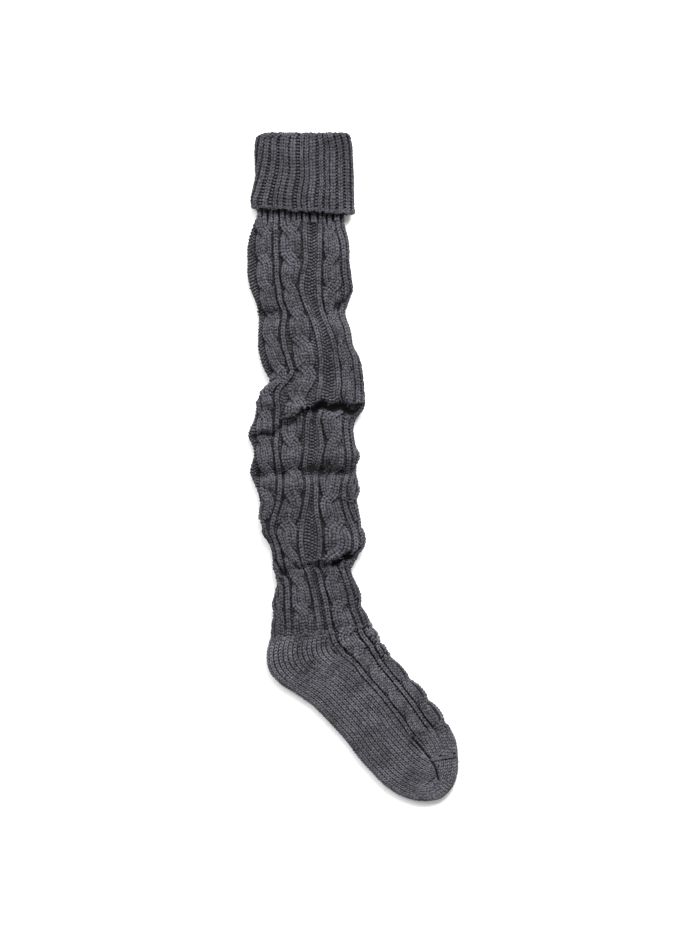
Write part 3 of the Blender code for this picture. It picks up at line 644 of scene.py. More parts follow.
def loop_tree(material):
    """Geometry Nodes: one loop of yarn, a tapered bead, set on every place with its direction and size."""
    sizes = {"Sides": LOOP_SIDES, "Rings": LOOP_RINGS, "Taper": LOOP_TAPER, "Unevenness": UNEVENNESS, "Seed": 11}
    tree, given = new_tree("loops_of_yarn", "Places", sizes, "Knit")
    ball = {"Segments": given["Sides"], "Rings": given["Rings"], "Radius": 1.0}
    bead = node(tree, "GeometryNodeMeshUVSphere", ball)
    ply = {"Geometry": bead, "Name": "ply", "Value": bead.outputs["UV Map"]}
    plied = node(tree, "GeometryNodeStoreNamedAttribute", ply, data_type="FLOAT2", domain="CORNER")
    laid = node(tree, "GeometryNodeTransform", {"Geometry": plied, "Rotation": (-math.pi / 2, 0.0, 0.0)})
    place = node(tree, "ShaderNodeSeparateXYZ", {0: node(tree, "GeometryNodeInputPosition")}).outputs
    share = node(tree, "ShaderNodeMath", {0: place["Y"], 1: given["Taper"]}, operation="MULTIPLY")
    wider = {axis: node(tree, "ShaderNodeMath", {0: place[axis], 1: share}, operation="MULTIPLY") for axis in "XZ"}
    offset = node(tree, "ShaderNodeCombineXYZ", wider)
    tapered = node(tree, "GeometryNodeSetPosition", {"Geometry": laid, "Offset": offset})
    along, up, size = (
        node(tree, "GeometryNodeInputNamedAttribute", {"Name": name}, data_type="FLOAT_VECTOR")
        for name in ("along", "up", "size")
    )
    axes = {"Primary Axis": along, "Secondary Axis": up}
    turned = node(tree, "FunctionNodeAxesToRotation", axes, primary_axis="Y", secondary_axis="Z")
    least, most = (
        node(tree, "ShaderNodeMath", {0: 1.0, 1: given["Unevenness"]}, operation=sum_of)
        for sum_of in ("SUBTRACT", "ADD")
    )
    chance = node(tree, "FunctionNodeRandomValue", {2: least, 3: most, "Seed": given["Seed"]}, data_type="FLOAT")
    scale = node(tree, "ShaderNodeVectorMath", {0: size, "Scale": chance.outputs[1]}, operation="SCALE")
    beads = {"Points": given["Places"], "Instance": tapered, "Rotation": turned, "Scale": scale}
    many = node(tree, "GeometryNodeInstanceOnPoints", beads)
    real = node(tree, "GeometryNodeRealizeInstances", {"Geometry": many})
    rounded = node(tree, "GeometryNodeSetShadeSmooth", {"Geometry": real})
    dyed = node(tree, "GeometryNodeSetMaterial", {"Geometry": rounded, "Material": material})
    node(tree, "NodeGroupOutput", {"Knit": dyed})
    return tree


def fibre_tree(material):
    """Geometry Nodes: loose fibres, thin bowed threads that stand off the outside of the loops."""
    sizes = {"Fibres": FIBRES, "Shortest": FIBRE_LENGTH[0], "Longest": FIBRE_LENGTH[1], "Seed": 61}
    tree, given = new_tree("loose_fibres", "Loops", sizes, "Fuzz")
    facing, height = (
        node(tree, "ShaderNodeSeparateXYZ", {0: node(tree, "GeometryNodeInput" + kind)}).outputs["Z"]
        for kind in ("Normal", "Position")
    )
    above = node(tree, "ShaderNodeMath", {0: height, 1: FIBRES_ABOVE}, operation="GREATER_THAN")
    upwards = node(tree, "ShaderNodeMath", {0: facing, 1: above}, operation="MULTIPLY")
    outside = node(tree, "ShaderNodeMath", {0: upwards, 1: 0.1}, operation="GREATER_THAN")
    sown = {"Mesh": given["Loops"], "Selection": outside, "Density": given["Fibres"], "Seed": given["Seed"]}
    roots = node(tree, "GeometryNodeDistributePointsOnFaces", sown).outputs
    bend = {"Resolution": 2, "Start": (0.0, 0.0, -0.05), "Middle": (0.25, 0.1, 0.35), "End": (0.95, 0.0, 0.4)}
    bow = node(tree, "GeometryNodeCurveQuadraticBezier", bend)
    thread = node(tree, "GeometryNodeCurvePrimitiveCircle", {"Resolution": 3, "Radius": FIBRE_HALF})
    fibre = node(tree, "GeometryNodeCurveToMesh", {"Curve": bow, "Profile Curve": thread, "Fill Caps": True})
    lengths = {2: given["Shortest"], 3: given["Longest"], "Seed": given["Seed"]}
    long = node(tree, "FunctionNodeRandomValue", lengths, data_type="FLOAT")
    tilts = {0: (-0.4, -0.4, 0.0), 1: (0.4, 0.4, 2 * math.pi), "Seed": given["Seed"]}
    spin = node(tree, "FunctionNodeRandomValue", tilts, data_type="FLOAT_VECTOR")
    turn = {"Rotation": roots["Rotation"], "Rotate By": spin}
    way = node(tree, "FunctionNodeRotateRotation", turn, rotation_space="LOCAL")
    fibres = {"Points": roots["Points"], "Instance": fibre, "Rotation": way, "Scale": long.outputs[1]}
    many = node(tree, "GeometryNodeInstanceOnPoints", fibres)
    real = node(tree, "GeometryNodeRealizeInstances", {"Geometry": many})
    dyed = node(tree, "GeometryNodeSetMaterial", {"Geometry": real, "Material": material})
    node(tree, "NodeGroupOutput", {"Fuzz": dyed})
    return tree


def grow(name, start, tree, seed):
    """Runs a tree on a start mesh, and keeps what it makes as a piece with one plain mesh."""
    piece = placed(name, start)
    maker = piece.modifiers.new("maker", "NODES")
    maker.node_group = tree
    maker[tree.interface.items_tree["Seed"].identifier] = seed
    graph = bpy.context.evaluated_depsgraph_get()
    seen = piece.evaluated_get(graph)
    made = bpy.data.meshes.new_from_object(seen, preserve_all_data_layers=True, depsgraph=graph)
    piece.modifiers.clear()
    piece.data = made
    made.name = name
    return piece


def make_loops(name, loops, material, seed):
    """Turns the places of the loops into one plain mesh of yarn."""
    table = np.concatenate(loops)
    mesh = bpy.data.meshes.new(name)
    mesh.from_pydata(in_metres(table[:, :3]).tolist(), [], [])
    for number, (label, scale) in enumerate((("along", 1.0), ("up", 1.0), ("size", 0.001))):
        values = (table[:, 3 + 3 * number : 6 + 3 * number] * scale).astype(np.float32)
        mesh.attributes.new(label, "FLOAT_VECTOR", "POINT").data.foreach_set("vector", values.ravel())
    return grow(name, mesh, loop_tree(material), seed)


def make_fibres(pieces):
    """The loose fibres on the upper side of each piece of yarn."""
    return [
        grow(piece.name + "_fibres", piece.data, fibre_tree(wool_fibre), 61 + number)
        for number, piece in enumerate(pieces)
    ]


LEG_FINE = even_places(LEG, STITCH_STEP)
FINE_SECTION = row_at(LEG, LEG_FINE)
FINE_TURN = turn_of(rib_run(LEG, LEG_FINE))
FINE_MARKS = leg_marks(FINE_SECTION)
COLUMN_LIFT = -0.55  # the middle of a loop, off the surface of the solid
UNDER_LIFT = -1.2
EDGE_CABLE = 6.0  # below this the cable has gone round the edge, and plain columns show
EDGE_COLUMNS = 12
NARROW_LADDER = 12.5
NARROW_CABLE = 5.2  # half the width below which a strand shows as one column
PURL_DEPTH = 0.95  # how far bare purl knit lies below the surface
BESIDE_RIB = 3.3  # from the middle of a rib to the purl knit beside it
INFILL_STEP = 2.15  # from one column to the next where purl knit fills the gap beside a narrow cable
PLEATS_END_Y = 579.0
CABLES_START = (0.5, 0, 2, 6)  # how far under the pleats each of the four cables starts
RIB_OF_CUFF = 5.4
# Where stitches are left out deep in a crease, the backing's near-black paint shows as the crease's painted shade.
DARK = 0.52  # further into the dark of a crease than this, no stitch is set


def set_column(loops, section, over, distance, rise, width, allowed, shown, side, **how):
    """A column of stitches on a part of the sock, where it is shown, allowed, and not round the rolled edge."""
    out = rise + COLUMN_LIFT if side > 0 else UNDER_LIFT * np.ones_like(distance)
    path, before, after = (on_sock(section, distance + step, out, side) for step in (0.0, -0.4, 0.4))
    shown = shown * (distance > 0.35 * WALE) * (distance < over - 0.35 * WALE) * allowed(path[:, 0], path[:, 1])
    knit_column(loops, path, after - before, width, shown, side=side, **how)


def leg_column(loops, distance, rise, width, shown, side, fading=True, **how):
    fade = below_the_pleats(FINE_SECTION.back_y) if fading else 1.0
    rise = rise * (fade * at_heel(FINE_SECTION, FINE_MARKS, distance))

    # Deep in a crease no stitch is set, so the backing shows there as painted shade.
    def allowed(x, y):
        return in_crease(x, y) < DARK if side > 0 else 1

    set_column(loops, FINE_SECTION, FINE_MARKS.over, distance, rise, width, allowed, shown, side, **how)


def cable_columns(low, high, hand, turn):
    """Of each column in both strands: its distance, rise and width, and whether it lies on top there."""
    half = (high - low) / 2
    size = CABLE_RISE * np.minimum(1.0, 2 * half / CABLE_WIDTH)
    both = list(strands(turn, hand))
    narrow = half < NARROW_CABLE
    for (middle, level), (other, other_level) in (both, both[::-1]):
        over = level > other_level
        yield (low + high) / 2 + middle * half, size * level, 0.95 * half, narrow & (over | (np.abs(middle) > 0.3))
        for hand in (-1, 1):
            # The columns spread where their strand lies on top of the crossing.
            beside = 0.25 + 0.07 * np.cos(turn) ** 2 * over
            across = middle + hand * beside
            own = level * np.sqrt(1 - (beside / STRAND_HALF) ** 3)
            theirs = 1 - np.abs((across - other) / STRAND_HALF) ** 3
            theirs = other_level * np.sqrt(np.maximum(theirs, 0.0))
            seen = (own > 0.88 * theirs) & ~narrow
            yield (low + high) / 2 + across * half, size * own, 2.05 * beside * half, seen


def leg_stitches(side):
    cables, ribs = [], []
    first, a, b, c, d, last = FINE_MARKS[:6]
    y = FINE_SECTION.back_y
    under_pleats = y < PLEATS_END_Y
    for number, (low, high, hand) in enumerate(leg_cables(FINE_MARKS)):
        there = ((high - low > EDGE_CABLE) | (number in (1, 2))) & (y < PLEATS_END_Y - CABLES_START[number])
        for distance, rise, width, seen in cable_columns(low, high, hand, FINE_TURN):
            leg_column(cables, distance, rise, width, seen & there, side)
        for distance in (low + 1.5, high - 1.5):
            bare = cable_rise(distance, low, high, FINE_TURN, hand) < 2.0
            leg_column(ribs, distance, -PURL_DEPTH, 3.4, bare & there, side, purl=True)
        if number == 1:
            for step in range(4):
                for distance in (low - INFILL_STEP * step, high + INFILL_STEP * step):
                    between = (distance > a + GUTTER) & (distance < b - GUTTER)
                    between &= (distance <= low) | (distance >= high)
                    leg_column(ribs, distance, -0.3, 2.2, between, side, purl=True, start=0.5 * (step % 2))
    # Where the ladder is narrow, nothing but one dark gutter is left of it.
    one_gutter = smooth((NARROW_LADDER - (c - b)) / 2.0)
    for rib in (a, b, c, d):
        leg_column(ribs, rib, RIB_RISE * 0.9, RIB_WALE, under_pleats, side)
        for hand in (-1, 1):
            into_ladder = (rib is b and hand > 0) or (rib is c and hand < 0)
            low_knit = -0.9 - 0.4 * one_gutter * into_ladder
            leg_column(ribs, rib + BESIDE_RIB * hand, low_knit, 2.6, under_pleats, side, purl=True, height=0.8)
    # Between the pleat gutters the ribs of the cuff run on.
    edges = (-99.5,) + PLEAT_GUTTERS_X + (-4.0,)
    seen = (y > PLEATS_END_Y - 2.0) & (y < 594.0)
    for low, high in zip(edges, edges[1:]):
        count = round((high - low) / RIB_OF_CUFF)
        for number in range(count):
            x = low + (high - low) * (number + 0.5) / count - FINE_SECTION.back_x
            distance = from_edge(np.maximum(x, 0.1), FINE_SECTION.half)
            leg_column(ribs, distance, 0.8, (high - low - 1.6) / count, seen, side, fading=False)
    # The ladder and both edges are purl knit: bumps across, each column half a stitch on from the last.
    low, high = b + LADDER_EDGE, c - LADDER_EDGE
    count = 2 * max(1, round(float(np.median(high - low)) / WALE))
    for number in range(count):
        distance = low + (number + 0.5) / count * (high - low)
        how = {"purl": True, "start": 0.5 * (number % 2)}
        seen = under_pleats & (one_gutter < 0.5)
        leg_column(ribs, distance, -LADDER_DIP * 0.8, (high - low) / count, seen, side, **how)
    for number in range(EDGE_COLUMNS):
        outwards = (number + 0.5) * WALE / 2
        for distance in (first - outwards, last + outwards):
            how = {"purl": True, "start": 0.5 * (number % 2)}
            leg_column(ribs, distance, 0.0, WALE / 2, under_pleats, side, **how)
    for low, high in ((first, a - GUTTER), (d + GUTTER, last)):
        narrow = (high - low <= EDGE_CABLE) & under_pleats
        for share in (0.25, 0.75):
            leg_column(ribs, low + share * (high - low), 0.9, np.maximum(high - low, 3.0) / 2, narrow, side)
    return cables, ribs


leg_pieces = []
for side, label in ((1, "top"), (-1, "under")):
    cables, ribs = leg_stitches(side)
    leg_pieces.append(make_loops("leg_cable_stitches_" + label, cables, leg_yarn, 11 + side))
    leg_pieces.append(make_loops("leg_rib_stitches_" + label, ribs, leg_yarn, 21 + side))
leg_pieces += make_fibres(leg_pieces[:2])

for piece in [leg_knit] + leg_pieces:
    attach(piece, "root")
    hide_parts("cabled_leg")

# ------------------------------
# The foot: knitted on from the leg. The heel and toe are plain pockets, the sole is plain, and along the
# instep two cables and two ribs run on from the leg. The sections fan round the heel and cross the foot.
# ------------------------------
FOOT = [LEG[-1]] + [Section(*row) for row in (
    (-83, 148, 23.5, 172, 20, 51, 68, 96, 4.8, 1.4),
    (-82.5, 136, 25.5, 168, 20, 52, 71.5, 99.5, 4.6, 1.4),
    (-78.5, 126, 27.5, 164.5, 20, 52, 74, 100.5, 4.6, 1.4),
    (-70, 117, 29.5, 161, 18, 50, 70.5, 98, 4.5, 1.4),
    (-60, 110.5, 31.5, 157.5, 16, 47, 68, 92, 4.5, 1.4),
    (-49, 103.5, 33.5, 154.5, 14, 44, 64, 85.5, 4.5, 1.4),
    (-39, 96.5, 35.5, 151.5, 13, 42, 60, 81.5, 4.4, 1.4),
    (-30, 88, 38, 148, 12, 40, 58, 78.5, 4.4, 1.4),
    (-17, 74.5, 50, 133, 12, 40, 57.5, 76.5, 4.4, 1.4),
    (-3, 59, 64, 118, 12, 40, 56.5, 75.5, 4.4, 1.4),
    (9, 42.5, 78, 102.5, 12, 40, 57, 75.5, 4.4, 1.4),
    (22, 28, 90, 86.5, 12, 38, 54, 73, 4.4, 1.4),
    (34, 16, 99, 74, 11, 34, 51.5, 70, 4.4, 1.2),
    (47, 7, 105.5, 60, 10, 30, 46, 63, 4.3, 1),
    (61, 1.5, 107.5, 45, 8, 22, 34, 50, 4.2, 0.8),
    (75, -0.5, 107.5, 32, 6, 15, 26, 35.5, 4, 0.6),
    (87, 1.5, 105, 20.5, 4, 8, 14.5, 20, 3.6, 0.3),
    (94.5, 5.5, 101, 13, 2, 4, 5.5, 7, 2.8, 0),
)]
# The crease along the toe pocket's gore, from where the instep ends to the point that the toe turns round.
Point = namedtuple("Point", "x y")
GORE = (Point(63.0, 62.0), Point(75.0, 48.0), Point(84.0, 35.0), Point(88.0, 22.0))
GORE_DEPTH = 3.2
GORE_HALF_WIDTH = 1.6
# The gore is a real groove, and where no stitch is set along it the backing's near-black shows as painted shade.
GORE_CLEAR = 2.5  # nearer to the gore's crease than this, no column of the foot is set
FOOT_STEPS = (30, 5, 5, 12, 5, 5, 12, 3)
FOOT_SHELL_END = 17.6  # the section at which the shell closes over the toe

FootMarks = namedtuple("FootMarks", "c d gutter over last")


def foot_marks(section):
    over = over_top(section)
    c, d = (from_edge(rib, section.half) for rib in (section.rib_c, section.rib_d))
    d = np.minimum(d, 0.88 * over)
    gutter = np.minimum(GUTTER, 0.15 * (d - c))
    return FootMarks(c, d, gutter, over, over - 0.08 * (over - d))


def foot_cables(marks):
    yield marks.c + marks.gutter, marks.d - marks.gutter, -1
    yield marks.d + marks.gutter, marks.last, -1


def past_the_cables(x, y):
    """From 0 on the instep to 1 on the plain toe."""
    return smooth((72.0 + 0.3 * (x - 70.0) - y) / 13.0)


def from_gore(x, y):
    """How far a point is from the gore's crease, seen from above."""
    near = np.full(np.shape(x), 99.0)
    bends = row_at(GORE, np.linspace(0.0, len(GORE) - 1.0, 13))
    line = list(zip(bends.x, bends.y))
    for start, end in zip(line, line[1:]):
        step = np.subtract(end, start)
        share = np.clip(((x - start[0]) * step[0] + (y - start[1]) * step[1]) / (step @ step), 0, 1)
        near = np.minimum(near, np.hypot(x - start[0] - share * step[0], y - start[1] - share * step[1]))
    return near


def foot_relief(section, marks, distance, turn):
    beside = (0.8, 0.85 * marks.gutter, 0.7)
    rise = relief(distance, turn, foot_cables(marks), 0.0, (marks.c, marks.d), 0.8 * marks.gutter, beside)
    x, y, _ = np.moveaxis(on_sock(section, distance, np.zeros_like(distance)), -1, 0)
    return rise * (1 - past_the_cables(x, y)) - GORE_DEPTH * bell(from_gore(x, y), GORE_HALF_WIDTH)


# The foot's yarn is the leg's, painted a little paler as painted light, for the foot's plain knit lies smoother and
# catches more light.
foot_yarn_painted_paler = yarn("charcoal_wool_blend_yarn_of_the_foot_painted_paler", "#2b2a2f", "#5f5d64")
# Behind its stitches too the yarn is only seen in their shade, so it is painted near-black, as painted shade.
foot_painted_shade_backing = yarn("charcoal_yarn_behind_the_foot_stitches", "#131214", "#1d1c1e")

foot_places = even_places(FOOT, SHELL_STEP)
foot_places = foot_places[foot_places < FOOT_SHELL_END]
foot_section = row_at(FOOT, foot_places)
LEG_RUN = float(rib_run(LEG, len(LEG) - 1.0))
foot_turn = turn_of(LEG_RUN + rib_run(FOOT, foot_places))
marks = foot_marks(foot_section)
tall_marks = tall(marks)
foot_columns = (
    np.zeros_like(marks.over), marks.c - marks.gutter, marks.c, marks.c + marks.gutter, marks.d - marks.gutter,
    marks.d, marks.d + marks.gutter, marks.last, marks.over,
)
outer, inner = tube_rings(
    foot_section,
    foot_columns,
    FOOT_STEPS,
    lambda distance: foot_relief(tall(foot_section), tall_marks, distance, foot_turn[:, None]),
)
# The foot's cloth behind the stitches is painted near-black, as painted shade between them.
foot_knit = knit_shell("foot_knit", np.concatenate([inner[2:], outer]), True, foot_painted_shade_backing)

# ------------------------------
# The foot's stitches. Columns of the sole keep their distance from the sole's edge, so they curve round the
# heel, run along the foot, end along the gore or turn round the toe and come back to the toe seam.
# ------------------------------
HEEL_WALE = 4.9
SOLE_WALE = 4.25
SOLE_COLUMNS = 16
FRONT_COLUMNS = 9
SEAM_CLEAR = 1.0  # from the toe seam to the nearest column
SEAM_START = Point(82.5, 41.4)
SEAM_END = Point(105.0, 44.8)
FOOT_FINE = even_places(FOOT, STITCH_STEP)
TOE_START = 14.9  # the section from which the columns turn round the toe
FOOT_FINE = FOOT_FINE[FOOT_FINE < TOE_START]
FOOT_SECTION = row_at(FOOT, FOOT_FINE)
FOOT_TURN = turn_of(LEG_RUN + rib_run(FOOT, FOOT_FINE))
FOOT_MARKS = foot_marks(FOOT_SECTION)


def above_seam(x, y):
    """How far a point lies above the toe seam, towards the cuff."""
    slope = (SEAM_END.y - SEAM_START.y) / (SEAM_END.x - SEAM_START.x)
    return y - SEAM_START.y - slope * (x - SEAM_START.x)


def foot_plan(distance):
    """Where points of the foot lie, seen from above."""
    return on_sock(FOOT_SECTION, distance, np.zeros_like(distance)).T[:2]


def foot_column(loops, distance, rise, width, shown, side, **how):
    # No stitch is set near the gore, so the painted-shade backing shows along its crease.
    def allowed(x, y):
        return from_gore(x, y) > GORE_CLEAR

    set_column(loops, FOOT_SECTION, FOOT_MARKS.over, distance, rise, width, allowed, shown, side, **how)


def foot_stitches(side):
    sole, instep = [], []
    heel = 1 - smooth((FOOT_FINE - 3.0) / 5.0)
    pitch = SOLE_WALE + (HEEL_WALE - SOLE_WALE) * heel
    rib_width = np.minimum(RIB_WALE, 1.5 * FOOT_MARKS.gutter)
    rib_edge = 0.45 * rib_width + 1.0
    plain = {"start": 0.0, "loose": 0.4}
    for number in range(SOLE_COLUMNS):
        distance = (number + 0.5) * pitch
        past = past_the_cables(*foot_plan(distance))
        reach = FOOT_MARKS.c - (rib_edge + 1.6) * (1 - past) - 0.4
        foot_column(sole, distance, 0.0, (0.93 - 0.07 * heel) * pitch, distance < reach, side, **plain)
    beside_rib = FOOT_MARKS.c - rib_edge - 1.35
    foot_column(sole, beside_rib, 0.0, 2.9, past_the_cables(*foot_plan(beside_rib)) < 0.5, side)
    for low, high, hand in foot_cables(FOOT_MARKS):
        for distance, rise, width, seen in cable_columns(low, high, hand, FOOT_TURN):
            past = past_the_cables(*foot_plan(distance))
            foot_column(instep, distance, rise * (1 - past), width, seen & (past < 0.9), side, loose=0.45)
        for distance in (low + 1.2, high - 1.2):
            bare = cable_rise(distance, low, high, FOOT_TURN, hand) < 1.6
            bare &= past_the_cables(*foot_plan(distance)) < 0.5
            foot_column(instep, distance, -0.3, 3.0, bare, side, purl=True)
    for rib in (FOOT_MARKS.c, FOOT_MARKS.d):
        past = past_the_cables(*foot_plan(rib))
        foot_column(instep, rib, RIB_RISE * 0.9 * (1 - past), rib_width, past < 0.8, side)
    for number in range(FRONT_COLUMNS):
        distance = FOOT_MARKS.over - (number + 0.5) * SOLE_WALE
        x, y = foot_plan(distance)
        toe = (past_the_cables(x, y) >= 0.35) & (above_seam(x, y) > SEAM_CLEAR) & (distance > FOOT_MARKS.c + 0.4)
        foot_column(sole, distance, 0.0, SOLE_WALE, toe, side, **plain)
        edge = (distance > FOOT_MARKS.last) & ~toe
        foot_column(instep, distance, 0.0, SOLE_WALE, edge, side, purl=True, loose=0.3)
    return sole, instep


TOE_STEPS = 240
TOE_COLUMNS = 8
TOE_HALF = 4.2  # half the toe's thickness where it is rolled
GORE_BESIDE = 2.2  # from the gore's crease to the column of stitches on each side of it
CHAIN_PITCH = 2.8


def drop_on(shell, plan, side):
    """Points of the foot above or below points of the plan, and the way that the foot faces there."""
    path, faces = [], []
    for x, y in plan:
        start = in_metres((x, y, 60.0 * side + 5.0))
        hit, normal, _, _ = shell.ray_cast(Vector(start), Vector((0, 0, -side)))
        if hit is not None:
            path.append(in_millimetres(hit))
            faces.append(np.array(normal))
    return np.array(path), np.array(faces)


def toe_stitches(loops, shell, side):
    """Columns that turn round the toe, from the last section to the toe seam."""
    rows = row_at(FOOT, np.linspace(TOE_START, len(FOOT) - 1.0, TOE_STEPS))
    back = np.stack([rows.back_x, rows.back_y], -1)
    outline = np.concatenate([back, np.stack([rows.front_x, rows.front_y], -1)[::-1]])
    run = run_along(outline)
    even = np.linspace(0.0, run[-1], TOE_STEPS)
    outline = pick(even, run, outline)
    # The inner ends of the rays: the turning point, then up beside the gore to the seam.
    turning, seam = np.array(GORE[-1]), np.array(SEAM_START)
    inner = turning + smooth((even / run[-1] - 0.6) / 0.4)[:, None] * (seam - turning)
    inwards = inner - outline
    length = np.linalg.norm(inwards, axis=1)
    inwards = inwards / length[:, None]
    half = np.full_like(length, TOE_HALF)
    quarter = math.pi * half / 2
    for number in range(TOE_COLUMNS):
        distance = (number + 0.5) * SOLE_WALE
        turn = np.minimum(distance / half, math.pi / 2)
        into = np.where(distance < quarter, half * (1 - np.cos(turn)), half + distance - quarter)
        plan = outline + into[:, None] * inwards
        path, faces = [], []
        for guess in np.column_stack([plan, half + side * half * np.sin(turn)]):
            near, normal, _, _ = shell.find_nearest(Vector(in_metres(guess)))
            path.append(in_millimetres(near))
            faces.append(np.array(normal))
        path, faces = np.array(path), np.array(faces)
        for line in (path, faces):
            for _ in range(6):
                line[1:-1] = (line[:-2] + 2 * line[1:-1] + line[2:]) / 4
        path = path + unit(faces) * (YARN_DEPTH + (COLUMN_LIFT if side > 0 else UNDER_LIFT))
        across = np.cross(faces, np.gradient(path, axis=0))
        x, y = path.T[:2]
        shown = (into < length - 1.2) & (above_seam(x, y) < -SEAM_CLEAR) & (from_gore(x, y) > GORE_CLEAR)
        knit_column(loops, path, across, SOLE_WALE, shown, side=side, start=0.0, loose=0.4)
    # A column of stitches runs along each side of the gore, and the toe seam is a linked chain.
    bends = row_at(GORE, np.linspace(0.0, len(GORE) - 1.0, 60))
    crease = np.stack([bends.x, bends.y], -1)
    along = unit(np.gradient(crease, axis=0))
    beside = GORE_BESIDE * np.stack([along[:, 1], -along[:, 0]], -1)
    seam = np.linspace(SEAM_START, SEAM_END, 30)
    for plan, lift in ((crease - beside, 0.2), (crease + beside, 0.2), (seam, 1.5)):
        path, faces = drop_on(shell, plan, side)
        path = path + unit(faces) * (lift if side > 0 else -0.4)
        across = np.cross(faces, np.gradient(path, axis=0))
        shown = np.ones(len(path))
        knit_column(loops, path, across, 2.8, shown, side=side, pitch=CHAIN_PITCH, start=0.0, loose=0.4)


graph = bpy.context.evaluated_depsgraph_get()
shell = BVHTree.FromObject(foot_knit, graph)
# The foot's stitches below take the yarn painted paler, as painted light.
foot_pieces = []
for side, label in ((1, "top"), (-1, "under")):
    sole, instep = foot_stitches(side)
    toe_stitches(sole, shell, side)
    foot_pieces.append(make_loops("sole_stitches_" + label, sole, foot_yarn_painted_paler, 31 + side))
    foot_pieces.append(make_loops("instep_stitches_" + label, instep, foot_yarn_painted_paler, 41 + side))
foot_pieces += make_fibres(foot_pieces[:2])

for piece in [foot_knit] + foot_pieces:
    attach(piece, "root")
    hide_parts("foot")

# ------------------------------
# The cuff: a tube of one-by-one rib, turned down over the top of the leg. Each rib is a column of knit
# stitches that stands up between sunken purl gutters, and the hem is bound off in a chain of loops.
# ------------------------------
CuffRow = namedtuple("CuffRow", "back_x back_y front_x front_y")
CUFF = [CuffRow(*row) for row in (
    (-97, 593, 3.8, 586.5),
    (-98, 600, 3.5, 594.5),
    (-96, 610, 3, 607),
    (-93.5, 624, 2.8, 622),
    (-93.5, 640, 2, 640),
    (-94, 652, 1.5, 652),
    (-93, 660, -0.2, 660),
)]
FLAP_ROWS = 28  # along the flap, from the hem to the turned edge
TURN_ROWS = 12  # over the turned edge
CUFF_HALF = 7.0
CUFF_CROWN = 1.2
CUFF_RIBS = 16
CUFF_LEAN = 0.15
CUFF_RIB_RISE = 1.3
HEAD_STAND = 1.2  # how far the ribs stand up past the gutters where they turn over the top
FLAP_WALL = 2.4
TURN_HEIGHT = 4.6  # from the last row of the flap to the top of the turned edge
TURN_CORNER = 7.0  # how far the turned edge is rounded off at its ends
HOLLOW_HALF = 1.6  # half the gap inside, where the cuff's two inner sides lie on each other
LEG_TOP = 602.0
CUFF_COLUMNS = 6 * CUFF_RIBS
CUFF_DEPTH = 0.9  # how far the cloth behind the stitches lies under their tops
CUFF_KNIT_HEIGHT = 0.95
CUFF_PURL_HEIGHT = 0.8
UNDER_SPREAD = 0.98  # the underside's knit stops just short of the edge
CHAIN_LOOP = 3.6  # from one loop of the cast-off chain to the next
# Rib is knitted tighter than the leg, with less light between its plies, so its yarn is painted darker than the
# leg's, as painted shade.
cuff_yarn_painted_darker = yarn("charcoal_wool_blend_yarn_of_the_tight_rib", "#222125", "#49474e")


# The rows of the flap, then the angles over the turned edge.
flap = row_at(CUFF, np.linspace(0.0, len(CUFF) - 1.0, FLAP_ROWS))
angles = np.linspace(0.0, math.pi, TURN_ROWS + 1)[1:]
turn_radius = (CUFF_HALF - HOLLOW_HALF) / 2


def cuff_rings():
    """The rows from the hem, over the turn and down inside: the row, its half thickness, how far up it is."""
    rows = [(CuffRow(*(field[i] for field in flap)), CUFF_HALF, i / (FLAP_ROWS - 1)) for i in range(FLAP_ROWS)]
    top = CUFF[-1]
    for angle in angles:
        half = CUFF_HALF - turn_radius * (1 - math.cos(angle))
        narrow = CUFF_HALF - half
        rise = TURN_HEIGHT * math.sin(angle)
        corner = narrow + TURN_CORNER * math.sin(angle) ** 2
        row = CuffRow(top.back_x + corner, top.back_y + rise, top.front_x - corner / 2, top.front_y + rise)
        rows.append((row, half, 1.0))
    narrow = CUFF_HALF - HOLLOW_HALF
    for y in (650.0, 630.0, LEG_TOP + 2.0):
        rows.append((CuffRow(CUFF[2].back_x + narrow, y, CUFF[2].front_x - narrow, y), HOLLOW_HALF, 1.0))
    return rows


cuff_rows = cuff_rings()
cuff_count = np.arange(len(cuff_rows))
cuff_half = np.array([half for _, half, _ in cuff_rows])
cuff_fade = 1 - smooth(np.array([share for _, _, share in cuff_rows]))
CUFF_SECTION = Section(
    *np.transpose([row for row, _, _ in cuff_rows]),
    *np.ones((4, len(cuff_rows))),
    cuff_half,
    CUFF_CROWN * (cuff_half / CUFF_HALF) ** 2,
    CUFF_HALF - cuff_half,
)


def uneven(share):
    """Ribs are not all as wide: some are squeezed and some spread."""
    return share + (0.2 * np.sin(31 * share) + 0.1 * np.sin(71 * share + 1)) / CUFF_RIBS * np.sin(math.pi * share)


def cuff_distance(share, over, quarter, fade):
    """Ribs lean round the back edge towards the hem."""
    share = uneven(share)
    return np.maximum(over * (share - fade * CUFF_LEAN * (1 - share) ** 3), -0.55 * quarter)


def cuff_surface(section, distance, out, side):
    """As on_sock, without the leg's folds."""
    spot = on_sock(section._replace(crown=section.crown * (side > 0)), distance, out, -1)
    if side < 0:
        return spot
    width = edge_to_edge(section)[1]
    middle = section.lift + section.half
    inwards = np.clip((distance - (math.pi / 2 - 1) * section.half) / width, 0, 1)
    lifted = 2 * middle - spot[..., 2]
    crown = section.crown * np.sin(math.pi * inwards) + 1.2 * lumps(spot[..., 0], spot[..., 1])
    lifted = lifted + crown * np.clip((lifted - middle) / section.half, 0, 1)
    return np.stack([spot[..., 0], spot[..., 1], lifted], -1)


def turning(places):
    """From 0 at the flap and inside to 1 where the rows turn over the top."""
    return np.sin(math.pi * np.clip((places - (FLAP_ROWS - 1.0)) / TURN_ROWS, 0.0, 1.0))


